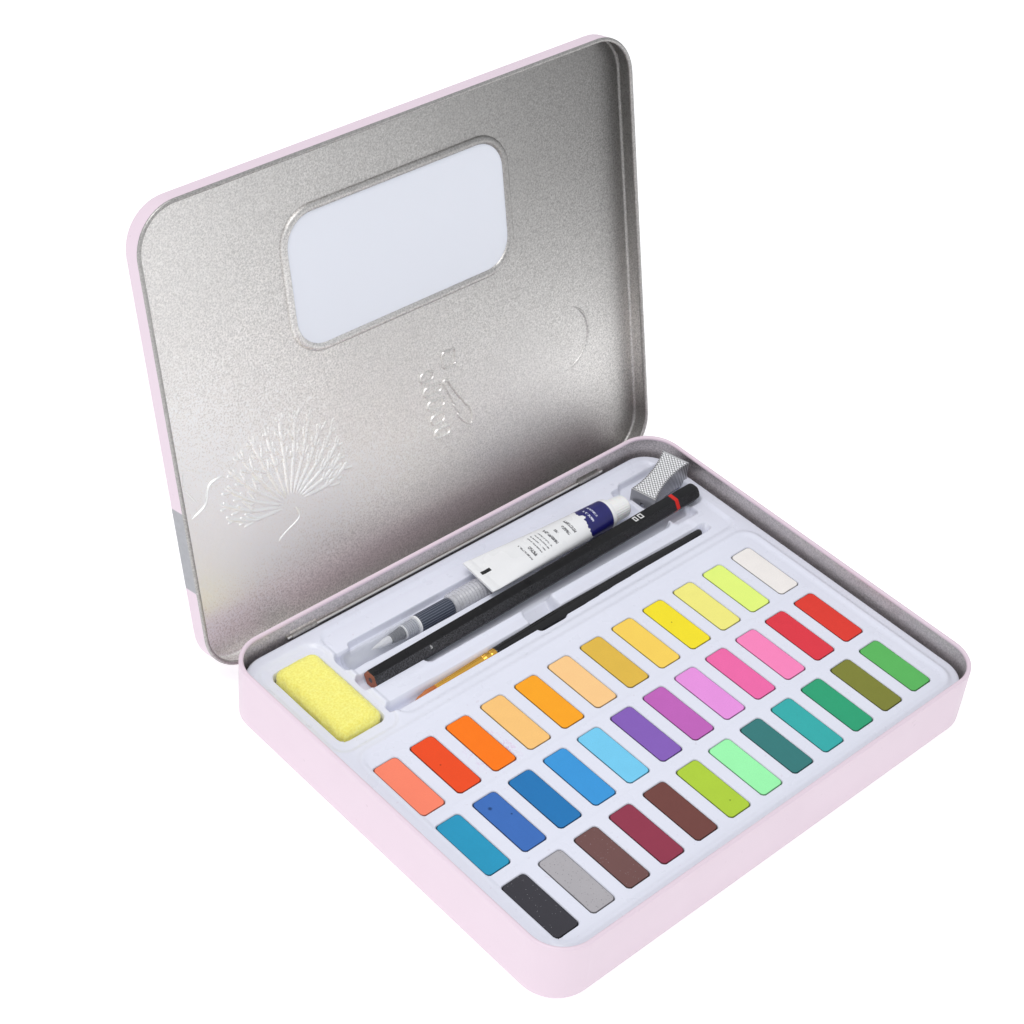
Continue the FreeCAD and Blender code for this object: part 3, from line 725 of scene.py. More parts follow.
def tray_height(x, y):
    """Height of the tray's upper side."""
    h = np.full_like(x, TRAY_TOP)
    h -= 1.0 * ease((0.9 - rounded_distance(x, y, (-74.5, 105.5, 32.0, 84.6), 5.0)) / 1.8)
    h -= 1.0 * ease((0.8 - rounded_distance(x, y, (-105.8, -76.4, 30.6, 83.4), 6.0)) / 1.6)
    # a raised frame round the cakes, and a low line between two rows of them
    frame = np.abs(rounded_distance(x, y, (-103.0, 106.0, -83.5, 26.5), 6.5))
    h += 0.8 * ease(1 - frame / 2.2)
    for line in (-12.7, -47.1):
        h += 0.22 * ease((100 - np.abs(x - 1.2)) / 2.0) * ease(1 - np.abs(y - line) / 1.1)
    wave = 0.9 * np.exp(-((x + 40) / 7.0) ** 2) + 0.6 * np.exp(-((x + 64) / 4.0) ** 2)
    lip = (1.7 - 0.7 * ease((x + 5.0) / 18.0) + 0.7 * ease((x - 16.0) / 28.0)
           + 1.5 * ease((x - 47.0) / 8.0) - 1.2 * ease((x - 56.0) / 3.0))
    bank_top = 15.9 + 1.2 * ease((-46.0 - x) / 20.0)
    # each well: how far its line wanders in x and y, its box, corner, floor, curve and wall
    wells = (
        (0, wave, (-77.5, 27.0, 61.6, 74.2), 4.0, 9.7, 6.5, 2.4),  # water brush
        (0, 0, (-68.4, 27.0, 62.0, 76.4), 3.0, 13.0, 60.0, 1.6),  # step beside it
        (0, 0, (18.0, 80.8, 59.0, 76.6), 4.0, 12.7, 9.0, 2.4),  # tube
        (0, 0, (-78.0, 98.5, 50.1, 59.9), 3.0, 12.1, 12.0, 1.6),  # pencil
        (0, 0, (-50.0, 85.0, 48.0, 56.0), 3.0, 12.4, 40.0, 1.4),  # gap in front of the pencil
        (0, 0, (90.0, 107.0, 50.4, 60.4), 3.0, 15.4, 16.0, 1.6),  # rest for the pencil's end
        (0, 0, (85.0, 100.0, 46.8, 54.0), 2.0, 13.0, 14.0, 1.6),  # notch in front of the rest
        (0, lip * ease((41.0 - y) / 4.0), (-77.6, 96.5, 34.2, 41.8), 3.0, 9.6, 6.0, 0.8),  # brush
        (0, 0, (-76.0, 94.0, 36.0, 48.6), 4.0, bank_top, -18.0, 3.0),  # bank behind the brush
        (0.2 * (y - 36.0), 0, (-5.6, 14.4, 31.9, 53.0), 5.0, 9.8, 9.0, 4.2),  # finger dip
        (0, 0, (81.0, 108.6, 59.0, 81.5), 5.0, 12.5, 60.0, 2.0),  # sharpener
        (0, 0, (76.5, 86.0, 69.0, 80.0), 3.5, 13.0, 30.0, 2.4),  # dent beside it
        (0, 0, (-101.7, -79.6, 35.2, 79.6), 4.4, 6.1, 90.0, 0.8),  # sponge
    )
    for aside, shift, *well in wells:
        h = smooth_min(h, groove(x - aside, y - shift, *well), 0.9)
    half_x, half_y = CAKE[0] / 2 + 0.12, CAKE[1] / 2 + 0.12
    for _, _, cx, cy in cake_places():
        near = (np.abs(x - cx) < half_x + 2) & (np.abs(y - cy) < half_y + 2)
        box = (cx - half_x, cx + half_x, cy - half_y, cy + half_y)
        d = rounded_distance(x[near], y[near], box, 2.1)
        pocket = 11.9 + 6.2 * ease((d + 0.35) / 0.45) + np.maximum(d, 0) * 3
        h[near] = smooth_min(h[near], pocket, 0.35)
    # the rim rounds over into the edge wall
    round_off = 1.2
    half_x, half_y = TRAY_HALF
    edge = rounded_distance(x, y, (-half_x, half_x, -half_y, half_y), TRAY_CORNER)
    t = np.clip(edge + round_off, 0, round_off) / round_off
    return h - round_off * (1 - np.sqrt(np.maximum(1 - t * t, 0)))


def build_tray():
    half_x, half_y = CAKE[0] / 2, CAKE[1] / 2
    x_edges = [c[2] + s * half_x for c in cake_places() if c[0] == 1 for s in (-1, 1)]
    y_edges = [c[3] + s * half_y for c in cake_places() if c[1] == 1 for s in (-1, 1)]
    x_edges += [-101.7, -79.6, -77.6, 80.8, 98.0, 107.0]
    y_edges += [35.2, 79.6, 35.9, 42.2, 50.2, 59.8, 61.8, 74.2, 76.5]
    ax, ay = TRAY_HALF
    xs = lines(-ax, ax, x_edges + [-ax, ax], 0.9)
    ys = lines(-ay, ay, y_edges + [-ay, ay], 0.9)
    gx, gy = np.meshgrid(xs, ys)
    # the square corners of the grid are drawn in to the round corners of the tray
    qx = np.maximum(np.abs(gx) - (ax - TRAY_CORNER), 0)
    qy = np.maximum(np.abs(gy) - (ay - TRAY_CORNER), 0)
    span = np.hypot(qx, qy)
    corner = (qx > 0) & (qy > 0)
    pull = np.where(corner, np.maximum(qx, qy) / np.maximum(span, 1e-9), 1.0)
    x = np.where(corner, np.sign(gx) * (ax - TRAY_CORNER + qx * pull), gx)
    y = np.where(corner, np.sign(gy) * (ay - TRAY_CORNER + qy * pull), gy)
    z = tray_height(x, y)
    points = np.stack([x.ravel(), y.ravel(), z.ravel()], 1)
    index = np.arange(x.size).reshape(x.shape)
    faces = np.stack([index[:-1, :-1], index[:-1, 1:], index[1:, 1:], index[1:, :-1]], -1)
    faces = [tuple(f) for f in faces.reshape(-1, 4).tolist()]
    # the edge wall hangs from the border of the grid
    border = np.concatenate([index[0], index[1:, -1], index[-1, -2::-1], index[-2:0:-1, 0]]).tolist()
    count = len(border)
    previous = border
    for level in (14.0, 8.0, 2.0, TRAY_FOOT):
        current = list(range(len(points), len(points) + count))
        row = points[border]
        row[:, 2] = level
        points = np.vstack([points, row])
        for k in range(count):
            m = (k + 1) % count
            faces.append((previous[k], current[k], current[m], previous[m]))
        previous = current
    n = Nodes("tray_plastic", (226, 228, 240), 0.32, Specular_IOR_Level=0.45)
    cloud = n.noise(45.0, 3.0)
    tone = n.mix(cloud, shade((224, 226, 239)), shade((229, 231, 243)))
    mottled = n.noise(700.0, 3.0, distortion=1.0)
    for place, radius, rgb, low in (((-61.0, -1.0, 17.5), 8.0, (216, 150, 205), 0.5),
                                    ((-69.0, -21.0, 17.5), 5.0, (220, 80, 110), 0.64),
                                    ((-78.0, -9.0, 17.5), 5.0, (226, 120, 110), 0.66)):
        smear = n.mul(n.near(place, radius, radius * 0.6),
                       n.span(mottled, low, low + 0.12))
        tone = n.over(tone, rgb, smear, 0.6)
    specks = n.math("GREATER_THAN", n.noise(650.0, 0.0), 0.84)
    tone = n.over(tone, (180, 150, 165), specks, 0.14)
    n.paint(tone)
    n.gloss(n.noise(120.0, 3.0), 0.26, 0.4)
    n.bump(n.add(n.noise(1400.0, 2.0), n.mul(cloud, 0.6)), 0.08, 0.0002)
    tray = add_piece("formed_tray", points, faces, "tray_set", "tray_plastic", ["tray"], [n])
    shell = tray.modifiers.new("thickness", "SOLIDIFY")
    shell.thickness = 0.4 * MM
    shell.offset = -1.0


CAKES = {
    1: [("salmon", (255, 136, 108)), ("red_orange", (238, 79, 37)), ("orange", (255, 123, 27)),
        ("light_peach", (251, 198, 123)), ("orange_yellow", (254, 167, 38)), ("peach", (255, 205, 143)),
        ("mustard", (226, 186, 76)), ("amber", (252, 212, 95)), ("yellow", (248, 228, 47)),
        ("pale_yellow", (245, 238, 132)), ("lime_yellow", (231, 253, 128)), ("cream", (243, 238, 234))],
    2: [("teal_blue", (44, 152, 191)), ("cobalt", (64, 111, 186)), ("deep_blue", (40, 119, 182)),
        ("sky_blue", (62, 152, 218)), ("light_cyan", (119, 204, 240)), ("violet", (135, 97, 185)),
        ("magenta_purple", (194, 102, 187)), ("orchid", (234, 150, 225)), ("hot_pink", (242, 109, 171)),
        ("pink", (255, 137, 191)), ("crimson", (225, 61, 74)), ("red", (227, 65, 54))],
    3: [("black", (63, 62, 68)), ("grey", (175, 172, 176)), ("brown", (115, 82, 80)),
        ("maroon", (147, 59, 80)), ("dark_brown", (116, 71, 66)), ("lime_green", (177, 209, 64)),
        ("mint", (159, 250, 177)), ("dark_teal", (58, 124, 123)), ("teal", (58, 175, 173)),
        ("green", (50, 164, 119)), ("olive", (129, 132, 58)), ("light_green", (96, 186, 98))],
}


def build_cakes():
    rng = random.Random(3)
    half_x, half_y, corner = CAKE[0] / 2, CAKE[1] / 2, 2.0
    top = CAKE_Z[1] - 0.03
    # inset and drop of each ring, from the dished middle over the raised edge to the side
    profile = ((4.9, 0.0), (3.6, 0.0), (2.4, 0.0), (1.5, 0.01), (0.9, 0.03), (0.55, 0.02),
               (0.32, -0.05), (0.15, -0.18), (0.04, -0.36), (0.0, -0.6))
    side = rounded_ring(half_x, half_y, corner)
    speckles = {"grey": 0.16, "black": 0.08, "brown": 0.08, "green": 0.08, "teal": 0.08}
    for row, column, cx, cy in cake_places():
        name, rgb = CAKES[row][column - 1]
        pits = []
        if name == "cobalt":
            pits = [((cx - 1.5, cy + 8.5, CAKE_Z[1]), 0.7), ((cx + 3.0, cy + 2.0, CAKE_Z[1]), 0.35)]
        if name in ("red_orange", "yellow", "lime_green"):
            pits = [((cx + rng.uniform(-3, 3), cy + rng.uniform(-9, 9), CAKE_Z[1]), 0.3)]
        speckle = speckles.get(name, 0.0)
        light = (235, 235, 240) if name in ("black", "brown") else (70, 70, 74)
        finish = cake_material(name, rgb, speckle, light, pits)
        sections, edge = [], []
        for inset, drop in profile:
            ring = rounded_ring(half_x - inset, half_y - inset, max(corner - inset * 0.7, 0.5))
            wobble = 0.05 * np.sin(ring[:, 0] * 0.9 + cx) * np.cos(ring[:, 1] * 0.45 + cy * 0.7)
            z = top + drop + wobble * (inset > 0.2)
            sections.append(np.column_stack([ring + (cx, cy), z]))
            edge += [max(0.0, 1 - inset / 0.6)] * len(ring)
        for z in (15.5, CAKE_Z[0]):
            sections.append(np.column_stack([side + (cx, cy), np.full(len(side), z)]))
            edge += [1.0] * len(side)
        points, faces = loft(sections)
        add_piece("paint_%d_%02d" % (row, column), points, flipped(faces), "tray_set", "paint_" + name,
                  ["cake_row%d_%02d" % (row, column)], [finish], {"edge": edge + [0.0, 1.0]})


# ---- sponge

def build_sponge():
    """A soft block of foam with worn edges and open pores."""
    low, high = np.array((-100.6, 36.2, 6.3)), np.array((-80.7, 78.6, 20.3))
    size = high - low
    counts = [max(2, int(length / 0.62)) for length in size]
    points, index, faces = [], {}, []
    for axis in range(3):
        u, v = [a for a in range(3) if a != axis]
        for level in (0, counts[axis]):
            for a in range(counts[u]):
                for b in range(counts[v]):
                    corners = []
                    for da, db in ((0, 0), (1, 0), (1, 1), (0, 1)):
                        key = [0, 0, 0]
                        key[axis], key[u], key[v] = level, a + da, b + db
                        if tuple(key) not in index:
                            index[tuple(key)] = len(points)
                            points.append(low + size * (np.array(key) / counts))
                        corners.append(index[tuple(key)])
                    flip = (level > 0) == (axis == 1)
                    faces.append(tuple(reversed(corners)) if flip else tuple(corners))
    # the block is drawn in to a round-edged one
    centre = (low + high) / 2
    core = size / 2 - 3.9
    offset = np.array(points) - centre
    inner = np.clip(offset, -core, core)
    away = offset - inner
    direction = away / np.maximum(np.linalg.norm(away, axis=1, keepdims=True), 1e-9)
    surface = centre + inner + direction * np.abs(away).max(axis=1, keepdims=True)
    # pores are dents round scattered seeds
    pores = 1500
    rng = np.random.default_rng(5)
    seeds = rng.uniform(low - 1, high + 1, (pores, 3))
    holes = rng.uniform(0.25, 0.75, pores)
    tree = KDTree(pores)
    for i, seed in enumerate(seeds):
        tree.insert(Vector(seed), i)
    tree.balance()
    foam = []
    for place, normal in zip(surface, direction):
        v = Vector(place)
        d = 0.14 * noise.noise(v * 0.9) + 0.22 * noise.noise(v * 0.22 + Vector((9, 2, 5)))
        _, i, distance = tree.find(v)
        reach = holes[i] + 0.35
        if distance < reach:
            d -= 0.5 * (1 - distance / reach) ** 1.2
        foam.append(place + normal * (min(d, 0.12) - 0.12))
    n = Nodes("sponge_foam", (246, 238, 96), 0.95, Sheen_Weight=0.25, Subsurface_Weight=0.25,
              Subsurface_Scale=0.003)
    n.shader.inputs["Subsurface Radius"].default_value = (1.0, 0.9, 0.3)
    large, small = n.cells(1500.0), n.cells(3200.0)
    grain = n.noise(1200.0, 3.0)
    tone = n.mix(n.span(grain, 0.3, 0.7), shade((242, 232, 112)), shade((252, 246, 140)))
    # painted shade in the pores
    pore_shade = n.span(large, 0.05, 0.42, 1.0, 0.0)
    n.paint(n.over(tone, (226, 212, 84), pore_shade, 0.15))
    n.bump(n.add(n.span(large, 0.0, 0.5), n.mul(n.span(small, 0.0, 0.5), 0.5)), 0.35, 0.0003)
    sponge = add_piece("foam_sponge", foam, faces, "sponge", "sponge_foam", ["sponge"], [n])


# ---- pencil and brush

PENCIL = ((-72.2, 54.9, 16.0), (104.7, 55.4, 19.8))
BRUSH = ((-65.2, 38.0, 13.5), (91.2, 38.4, 15.7))


def hexagon(flat, round_off, per_corner=5):
    """Points round a hexagon with softened corners, with a corner on +Y."""
    reach = (flat - round_off) / math.cos(math.radians(30))
    points = []
    for k in range(6):
        a = math.radians(60 * k)
        b = a + np.radians(np.linspace(-30, 30, per_corner))
        points.append(np.column_stack([reach * math.cos(a) + round_off * np.cos(b),
                                       reach * math.sin(a) + round_off * np.sin(b)]))
    return np.concatenate(points)


def build_pencil():
    length = length_between(*PENCIL)
    flat, soft, bore_radius = 3.6, 0.55, 1.1
    corners = hexagon(flat, soft)
    angles = np.arctan2(corners[:, 1], corners[:, 0])
    bore = bore_radius * np.column_stack([np.cos(angles), np.sin(angles)])
    # place, shrink and softness of each outline, from the cut end to the dipped one
    rows = [(0.0, 0.3, soft), (0.02, 0.16, soft), (0.35, 0.0, soft)]
    rows += [(x, 0.0, soft) for x in np.linspace(3, length - 12, 40)]
    rows += [(length - 11.5, 0.0, soft), (length - 11.2, -0.06, soft)]
    rows += [(length - back, shrink, round_off) for back, shrink, round_off in
             ((8.0, -0.06, 0.6), (3.0, -0.04, 0.8), (1.6, 0.04, 1.2), (0.9, 0.3, 1.9),
              (0.45, 0.7, 2.2), (0.15, 1.3, 2.0), (0.0, 2.1, 1.4))]
    outlines = [(1.0, bore), (0.0, bore)] + [(x, hexagon(flat - less, r)) for x, less, r in rows]
    points, faces = loft([np.column_stack([np.full(len(o), x), o]) for x, o in outlines])
    attributes = placing(points)
    n = Nodes("pencil_lacquer", (24, 24, 26), 0.34, Specular_IOR_Level=0.3)
    a = n.attribute("along")
    c = n.attribute("around")
    wear = n.noise(1300.0, 4.0)
    tone = n.mix(wear, shade((12, 12, 14)), shade((24, 24, 27)))
    # painted highlight: the faces turned to the front are painted lighter, broken by noise and fading
    # along the pencil
    front = n.mul(n.between(c, 121.0, 179.0, 2.0), n.span(n.noise(2200.0, 3.0), 0.3, 0.7))
    tone = n.mix(n.mul(front, n.span(a, 20.0, 120.0, 0.85, 0.25)), tone, shade((84, 84, 88)))
    tone = n.mix(n.between(a, 162.0, 163.9, 0.08), tone, shade((206, 34, 26)))
    # two small boxes stand for the grade
    boxes = n.mul(n.most(n.between(a, 140.0, 141.8, 0.1), n.between(a, 142.8, 145.0, 0.1)),
                  n.between(c, 68.0, 108.0, 2.0))
    hollow = n.mul(n.most(n.between(a, 140.5, 141.3, 0.1), n.between(a, 143.3, 144.5, 0.1)),
                   n.between(c, 76.0, 100.0, 2.0))
    tone = n.mix(n.mul(boxes, n.sub(1.0, hollow)), tone, shade((225, 225, 225)))
    tick = n.patch((a, 27.4, 28.2, 0.2), (c, 128.0, 150.0, 3.0))
    tone = n.mix(n.mul(tick, n.span(wear, 0.4, 0.55)), tone, shade((200, 200, 200)))
    chips = n.math("GREATER_THAN", n.noise(800.0, 2.0), 0.72)
    n.paint(n.over(tone, (120, 118, 116), chips, 0.15))
    n.gloss(n.noise(180.0, 3.0), 0.26, 0.46)
    n.bump(wear, 0.12)
    wood = Nodes("pencil_wood", (150, 86, 66), 0.75)
    rings = wood.noise(2600.0, 3.0, wood.stretched((0.3, 1.0, 1.0)))
    wood.paint(wood.mix(rings, shade((120, 62, 46)), shade((188, 116, 90))))
    wood.bump(rings, 0.4, 0.0003)

    def bare(face):
        reach = max(points[v][0] for v in face)
        return reach < 0.03 or reach <= 1.01 and min(math.hypot(*points[v][1:]) for v in face) < 1.2

    add_piece("pencil_barrel", placed(points, *PENCIL), faces, "pencil", "pencil_lacquer",
              ["pencil_casing"], [n, wood], attributes, [int(bare(f)) for f in faces], sharp=40)
    dress("pencil_lead", plain("graphite", (52, 50, 54), 0.35, 0.3, 3000.0, 0.3))


def on_brush(points):
    return placed(points, *BRUSH)


def build_brush():
    length = length_between(*BRUSH)
    # bristles: a tuft of fine hairs that comes to a point
    n = Nodes("brush_hair", (196, 110, 52), 0.55)
    tone = hair(n, (150, 70, 26), (232, 150, 84), 0.8)
    tip = n.span(n.attribute("along"), 0.0, 9.0)
    n.paint(n.over(tone, (170, 84, 36), tip, 0.3))
    rows = eased([(0.0, 0.05), (3.5, 1.1), (7.5, 1.75), (11.6, 1.6)], 0.4)
    lathe("brush_tuft", rows, on_brush, "brush", "brush_hair", n, ["brush_bristles"], 64,
          ribs=21, rib_depth=0.13)
    # ferrule: a cone of sheet brass with two crimped rings near the handle
    start, end, growth = (11.3, 1.72), (41.0, 2.5), 0.026
    rows = [(11.0, 1.45), (11.02, 1.66), start]
    rows += [(12.0 + k, start[1] + growth * k) for k in range(24)]
    for centre in (35.2, 38.2):
        radius = start[1] + growth * (centre - 12)
        rows += [(centre + d, radius - cut)
                 for d, cut in ((-0.9, 0), (-0.5, 0.18), (0, 0.3), (0.5, 0.18), (0.9, 0))]
    rows += [(40.3, 2.46), (40.8, 2.52), end, (41.0, 2.3)]
    rows.sort(key=lambda r: r[0])
    gold = plain("gold_ferrule", (244, 188, 84), 0.2, 1.0, 1800.0, 0.12, 0.1)
    lathe("brush_ferrule_tube", rows, on_brush, "brush", "gold_ferrule", gold, ["brush_ferrule"], 40, 50)
    n = Nodes("brush_lacquer", (18, 18, 20), 0.22, Specular_IOR_Level=0.4, Coat_Weight=0.15)
    wear = n.noise(260.0, 3.0)
    n.paint(n.mix(wear, shade((10, 10, 12)), shade((22, 22, 25))))
    n.gloss(wear, 0.16, 0.28)
    n.bump(wear, 0.05)
    rows = eased([(40.9, 2.4), (41.6, 2.52), (48, 2.72), (75.0, 3.0), (110, 2.55), (length - 1.2, 1.6),
                  (length - 0.3, 1.25), (length, 0.6)], 2.0)
    lathe("brush_handle_turned", rows, on_brush, "brush", "brush_lacquer", n, ["brush_handle"], 40)


# ---- water brush

WATER_Y, WATER_Z = 68.2, 14.9


def water(points):
    return np.asarray(points, float) + np.array([0.0, WATER_Y, WATER_Z])


def clear_plastic(name, rgb, roughness, alpha):
    n = Nodes(name, rgb, roughness, Alpha=alpha, Specular_IOR_Level=0.8)
    haze = n.noise(300.0, 3.0)
    n.paint(n.mix(haze, shade(rgb, 0.97), shade(rgb)))
    n.gloss(haze, roughness * 0.7, roughness * 1.4)
    n.bump(n.noise(1200.0, 2.0), 0.06)
    return n


def build_water_brush():
    def part(name, rows, slot, finish, nodes=(), count=48, sharp=None, **ribs):
        lathe(name, rows, water, "water_brush", slot, finish, nodes, count, sharp, **ribs)

    # cap: a thin cup with a rounded end and a thicker mouth
    outer = [(-73.8, 0.4), (-73.75, 2.4), (-73.4, 3.2), (-72.7, 3.75), (-71.5, 3.95), (-60, 4.05),
             (-48, 4.15), (-42.0, 4.18), (-41.6, 4.0), (-41.2, 4.18), (-40.4, 4.18), (-40.0, 4.02),
             (-39.6, 4.18), (-38.7, 4.2), (-38.5, 4.05)]
    inner = [(-38.5, 3.5), (-45, 3.45), (-60, 3.35), (-71.0, 3.2), (-72.2, 2.6), (-72.6, 0.3)]
    clear = clear_plastic("clear_cap", (214, 217, 226), 0.12, 0.15)
    part("water_cap_clear", outer + inner, "clear_cap", clear, ["water_brush_cap"], sharp=50)
    n = Nodes("white_hair", (240, 240, 242), 0.6)
    n.paint(hair(n, (214, 214, 220), (250, 250, 250), 0.6))
    rows = eased([(-61.0, 0.06), (-57.5, 0.9), (-54.0, 1.55), (-51.2, 1.6)], 0.4)
    part("water_tuft", rows, "white_hair", n, ["water_brush_bristles"], 60, ribs=19, rib_depth=0.12)
    # nozzle: a dark ribbed cone, then a collar of close rings
    pitch = 0.95
    rows = [(-51.5, 1.5), (-51.4, 1.85)]
    for k in range(7):
        x = -51.0 + k * pitch
        r = 1.95 + 0.11 * k
        rows += [(x, r), (x + 0.5, r + 0.05), (x + 0.55, r - 0.22), (x + 0.85, r - 0.18)]
    rows += [(-44.3, 2.7), (-44.2, 2.2)]
    dark = plain("dark_nozzle", (22, 25, 32), 0.3, 0.0, 1500.0, 0.1, 0.15)
    part("water_nozzle_cone", rows, "dark_nozzle", dark, ["water_brush_nozzle"], 40, 40)
    rows = [(-44.4, 1.5)]
    for k in range(6):
        x = -44.3 + k * pitch
        rows += [(x, 2.2), (x + 0.1, 3.0), (x + 0.55, 3.0), (x + 0.65, 2.25)]
    rows += [(-38.4, 2.2)]
    collar = plain("collar_plastic", (196, 199, 208), 0.25, 0.0, 1500.0, 0.1, 0.06, Alpha=0.75)
    part("water_collar", rows, "dark_nozzle", collar, (), 40, 40)
    white = plain("ring_plastic", (236, 236, 238), 0.3, 0.0, 1500.0, 0.05, 0.02)
    rows = [(-38.9, 3.6), (-38.8, 3.85), (-38.3, 3.9), (-37.9, 3.85), (-37.8, 3.3)]
    part("water_ring", rows, "grip_plastic", white, sharp=40)
    rows = [(-45.3, 2.5), (-45.2, 2.95), (-44.8, 3.05), (-44.5, 2.95), (-44.4, 2.3)]
    part("water_ring_front", rows, "grip_plastic", white, sharp=40)
    # grip with lengthwise flutes
    flutes = 24
    rows = [(-37.9, 2.9), (-37.8, 3.55)]
    rows += [(x, 3.86) for x in np.linspace(-37.3, -22.0, 24)]
    rows += [(-21.4, 3.75), (-21.0, 3.4), (-20.8, 3.4), (-16.8, 3.4), (-16.8, 2.5)]
    grip = Nodes("grip_plastic", (70, 78, 94), 0.38)
    _, y, z = grip.axes()
    turn = grip.math("ARCTAN2", grip.sub(z, WATER_Z * MM), grip.sub(y, WATER_Y * MM))
    # painted shade in the flute grooves and a painted highlight on their ridges
    flute_shading = grip.math("PINGPONG", grip.mul(turn, flutes / (2 * math.pi)), 0.5)
    tone = grip.mix(grip.span(flute_shading, 0.34, 0.46), shade((52, 58, 72)), shade((116, 122, 138)))
    grip.paint(tone)
    grip.bump(grip.noise(1500.0, 2.0), 0.1, 0.0001)
    part("water_grip_fluted", rows, "grip_plastic", grip, ["water_brush_grip"], 96, 60,
         ribs=flutes, rib_depth=0.2, rib_range=(-36.9, -22.2))
    # barrel: translucent bellows
    rows = [(-20.8, 3.9), (-20.7, 4.35)]
    x = -20.2
    while x < 4.6:
        rows += [(x, 4.55), (x + 0.45, 4.95), (x + 0.85, 4.97), (x + 1.3, 4.55)]
        x += 1.55
    rows += [(5.2, 4.8), (5.8, 4.5), (6.0, 3.6), (6.0, 0.4)]
    inner = [(5.2, 0.4), (5.2, 3.2), (4.6, 3.9), (-20.8, 3.9 - 0.05)]
    hazy = clear_plastic("clear_barrel", (226, 226, 232), 0.2, 0.45)
    part("water_barrel_bellows", rows + inner, "clear_barrel", hazy, ["water_brush_barrel"])


# ---- paint tube

TUBE = ((-6.4, 68.6, 21.75), (62.5, 67.2, 19.7))


def build_tube():
    length = length_between(*TUBE)
    angles = np.linspace(0, 2 * math.pi, 64, endpoint=False)
    # the folded end, the flattened body, then the shoulder and the neck
    fold, radius = 3.65, 6.5
    rows = [(0.0, 9.2, 0.35, 6), (0.02, 9.32, 0.5, 6), (0.3, 9.34, 0.6, 6), (2.0, 9.35, 0.61, 6),
            (3.4, 9.35, 0.6, 6), (fold, 9.3, 0.5, 5)]
    for share in np.linspace(0.01, 1.0, 44):
        opening = math.sin(math.pi / 2 * share)
        rows.append((fold + (length - fold) * share, 9.3 * (1 - share) + radius * share,
                     0.5 + 6.0 * (0.85 * share + 0.15 * opening), 2 + 1.5 * (1 - share) ** 3))
    for x, r in ((0.15, radius), (0.5, radius), (1.2, radius), (1.5, 6.45), (1.7, 6.0), (1.75, 3.6),
                 (2.2, 3.2), (8.4, 3.2)):
        rows.append((length + x, r, r, 2))
    points, faces = loft([superellipse(x, angles, w, h, power) for x, w, h, power in rows])
    for i, p in enumerate(points):
        if 4 < p[0] < length - 2:
            dent = 0.22 * noise.noise(Vector(p) * 0.11 + Vector((3, 1, 7)))
            r = math.hypot(p[1], p[2])
            fade = min(1, (p[0] - 4) / 12) * min(1, (length - 2 - p[0]) / 8)
            scale = 1 - abs(dent) * fade / max(r, 1)
            points[i][1] *= scale
            points[i][2] *= scale
    attributes = {"along": points[:, 0].copy(), "across": points[:, 1].copy(),
                  "upward": points[:, 2].copy()}
    n = Nodes("tube_laminate", (236, 237, 238), 0.3, Coat_Weight=0.1)
    a = n.attribute("along")
    c = n.attribute("across")
    up = n.attribute("upward")
    ragged = n.noise(420.0, 3.0)
    crumple = n.noise(70.0, 3.0)
    tone = n.mix(crumple, shade((228, 229, 231)), shade((240, 240, 241)))
    edge = n.add(a, n.mul(n.sub(ragged, 0.5), 7.0))
    blue = n.mul(n.span(edge, 55.4, 55.9), n.span(a, 68.2, 68.5, 1.0, 0.0))
    swirl = n.mix(n.noise(260.0, 2.0), shade((20, 20, 88)), shade((32, 31, 110)))
    tone = n.mix(blue, tone, swirl)
    top = n.math("GREATER_THAN", up, 0.2)
    # plain bars stand for the printed lines
    ink = None
    bars = [(23.6, 24.4, -5.4, 3.6), (26.0, 27.6, -4.6, 0.6), (29.4, 30.0, -4.6, 4.6),
            (31.2, 31.8, -4.6, 5.0), (33.0, 33.6, -4.6, 4.4), (34.8, 35.4, -4.6, 4.8),
            (37.4, 38.8, -4.4, 4.4), (41.0, 42.2, -0.4, 1.8), (44.6, 46.0, -3.8, 1.6),
            (47.6, 49.0, -4.0, 3.4)]
    for low, high, left, right in bars:
        bar = n.patch((a, low, high, 0.12), (c, left, right, 0.2))
        ink = bar if ink is None else n.most(ink, bar)
    broken = n.span(n.noise(1700.0, 1.0), 0.4, 0.5)
    ink = n.mul(n.mul(ink, top), broken)
    tone = n.over(tone, (58, 58, 64), ink, 0.85)
    block = n.patch((a, 2.2, 7.0, 0.1), (c, -0.2, 1.5, 0.08))
    tone = n.mix(n.mul(block, top), tone, shade((28, 28, 30)))
    stripe = n.most(n.patch((a, 58.0, 59.0, 0.12), (c, -3.6, 3.0, 0.3)),
                    n.patch((a, 60.8, 61.6, 0.12), (c, -2.6, 3.6, 0.3)))
    stripe = n.mul(n.mul(stripe, top), broken)
    tone = n.over(tone, (215, 218, 235), stripe, 0.85)
    n.paint(tone)
    n.gloss(crumple, 0.24, 0.36)
    n.bump(crumple, 0.35, 0.0008)
    add_piece("tube_shell", placed(points, *TUBE, roll=5.0), faces, "paint_tube", "tube_laminate",
              ["tube_body"], [n], attributes, sharp=50)
    start = length + 2.0
    grip, grip_length, steps = start + 0.15, 7.6, 14
    rows = [(start, 3.3), (start, 5.0), (grip, 5.25)]
    rows += [(grip + grip_length * k / steps, 5.28 - 0.45 * k / steps) for k in range(1, steps + 1)]
    rows += [(start + 8.6, 4.74), (start + 9.1, 4.5), (start + 9.35, 4.0), (start + 9.4, 0.5)]
    cap = plain("tube_cap_plastic", (243, 243, 242), 0.35, 0.0, 1500.0, 0.06, 0.02,
                Subsurface_Weight=0.1, Subsurface_Scale=0.002)
    lathe("tube_screw_cap", rows, lambda points: placed(points, *TUBE), "tube_cap", "tube_cap_plastic",
          cap, ["tube_cap"], 120, 60, ribs=30, rib_depth=0.16, rib_range=(start + 0.6, start + 7.9))


# ---- sharpener

SHARPENER = (82.7, 71.6, 14.6)
SHARPENER_TURN = math.radians(12.5)


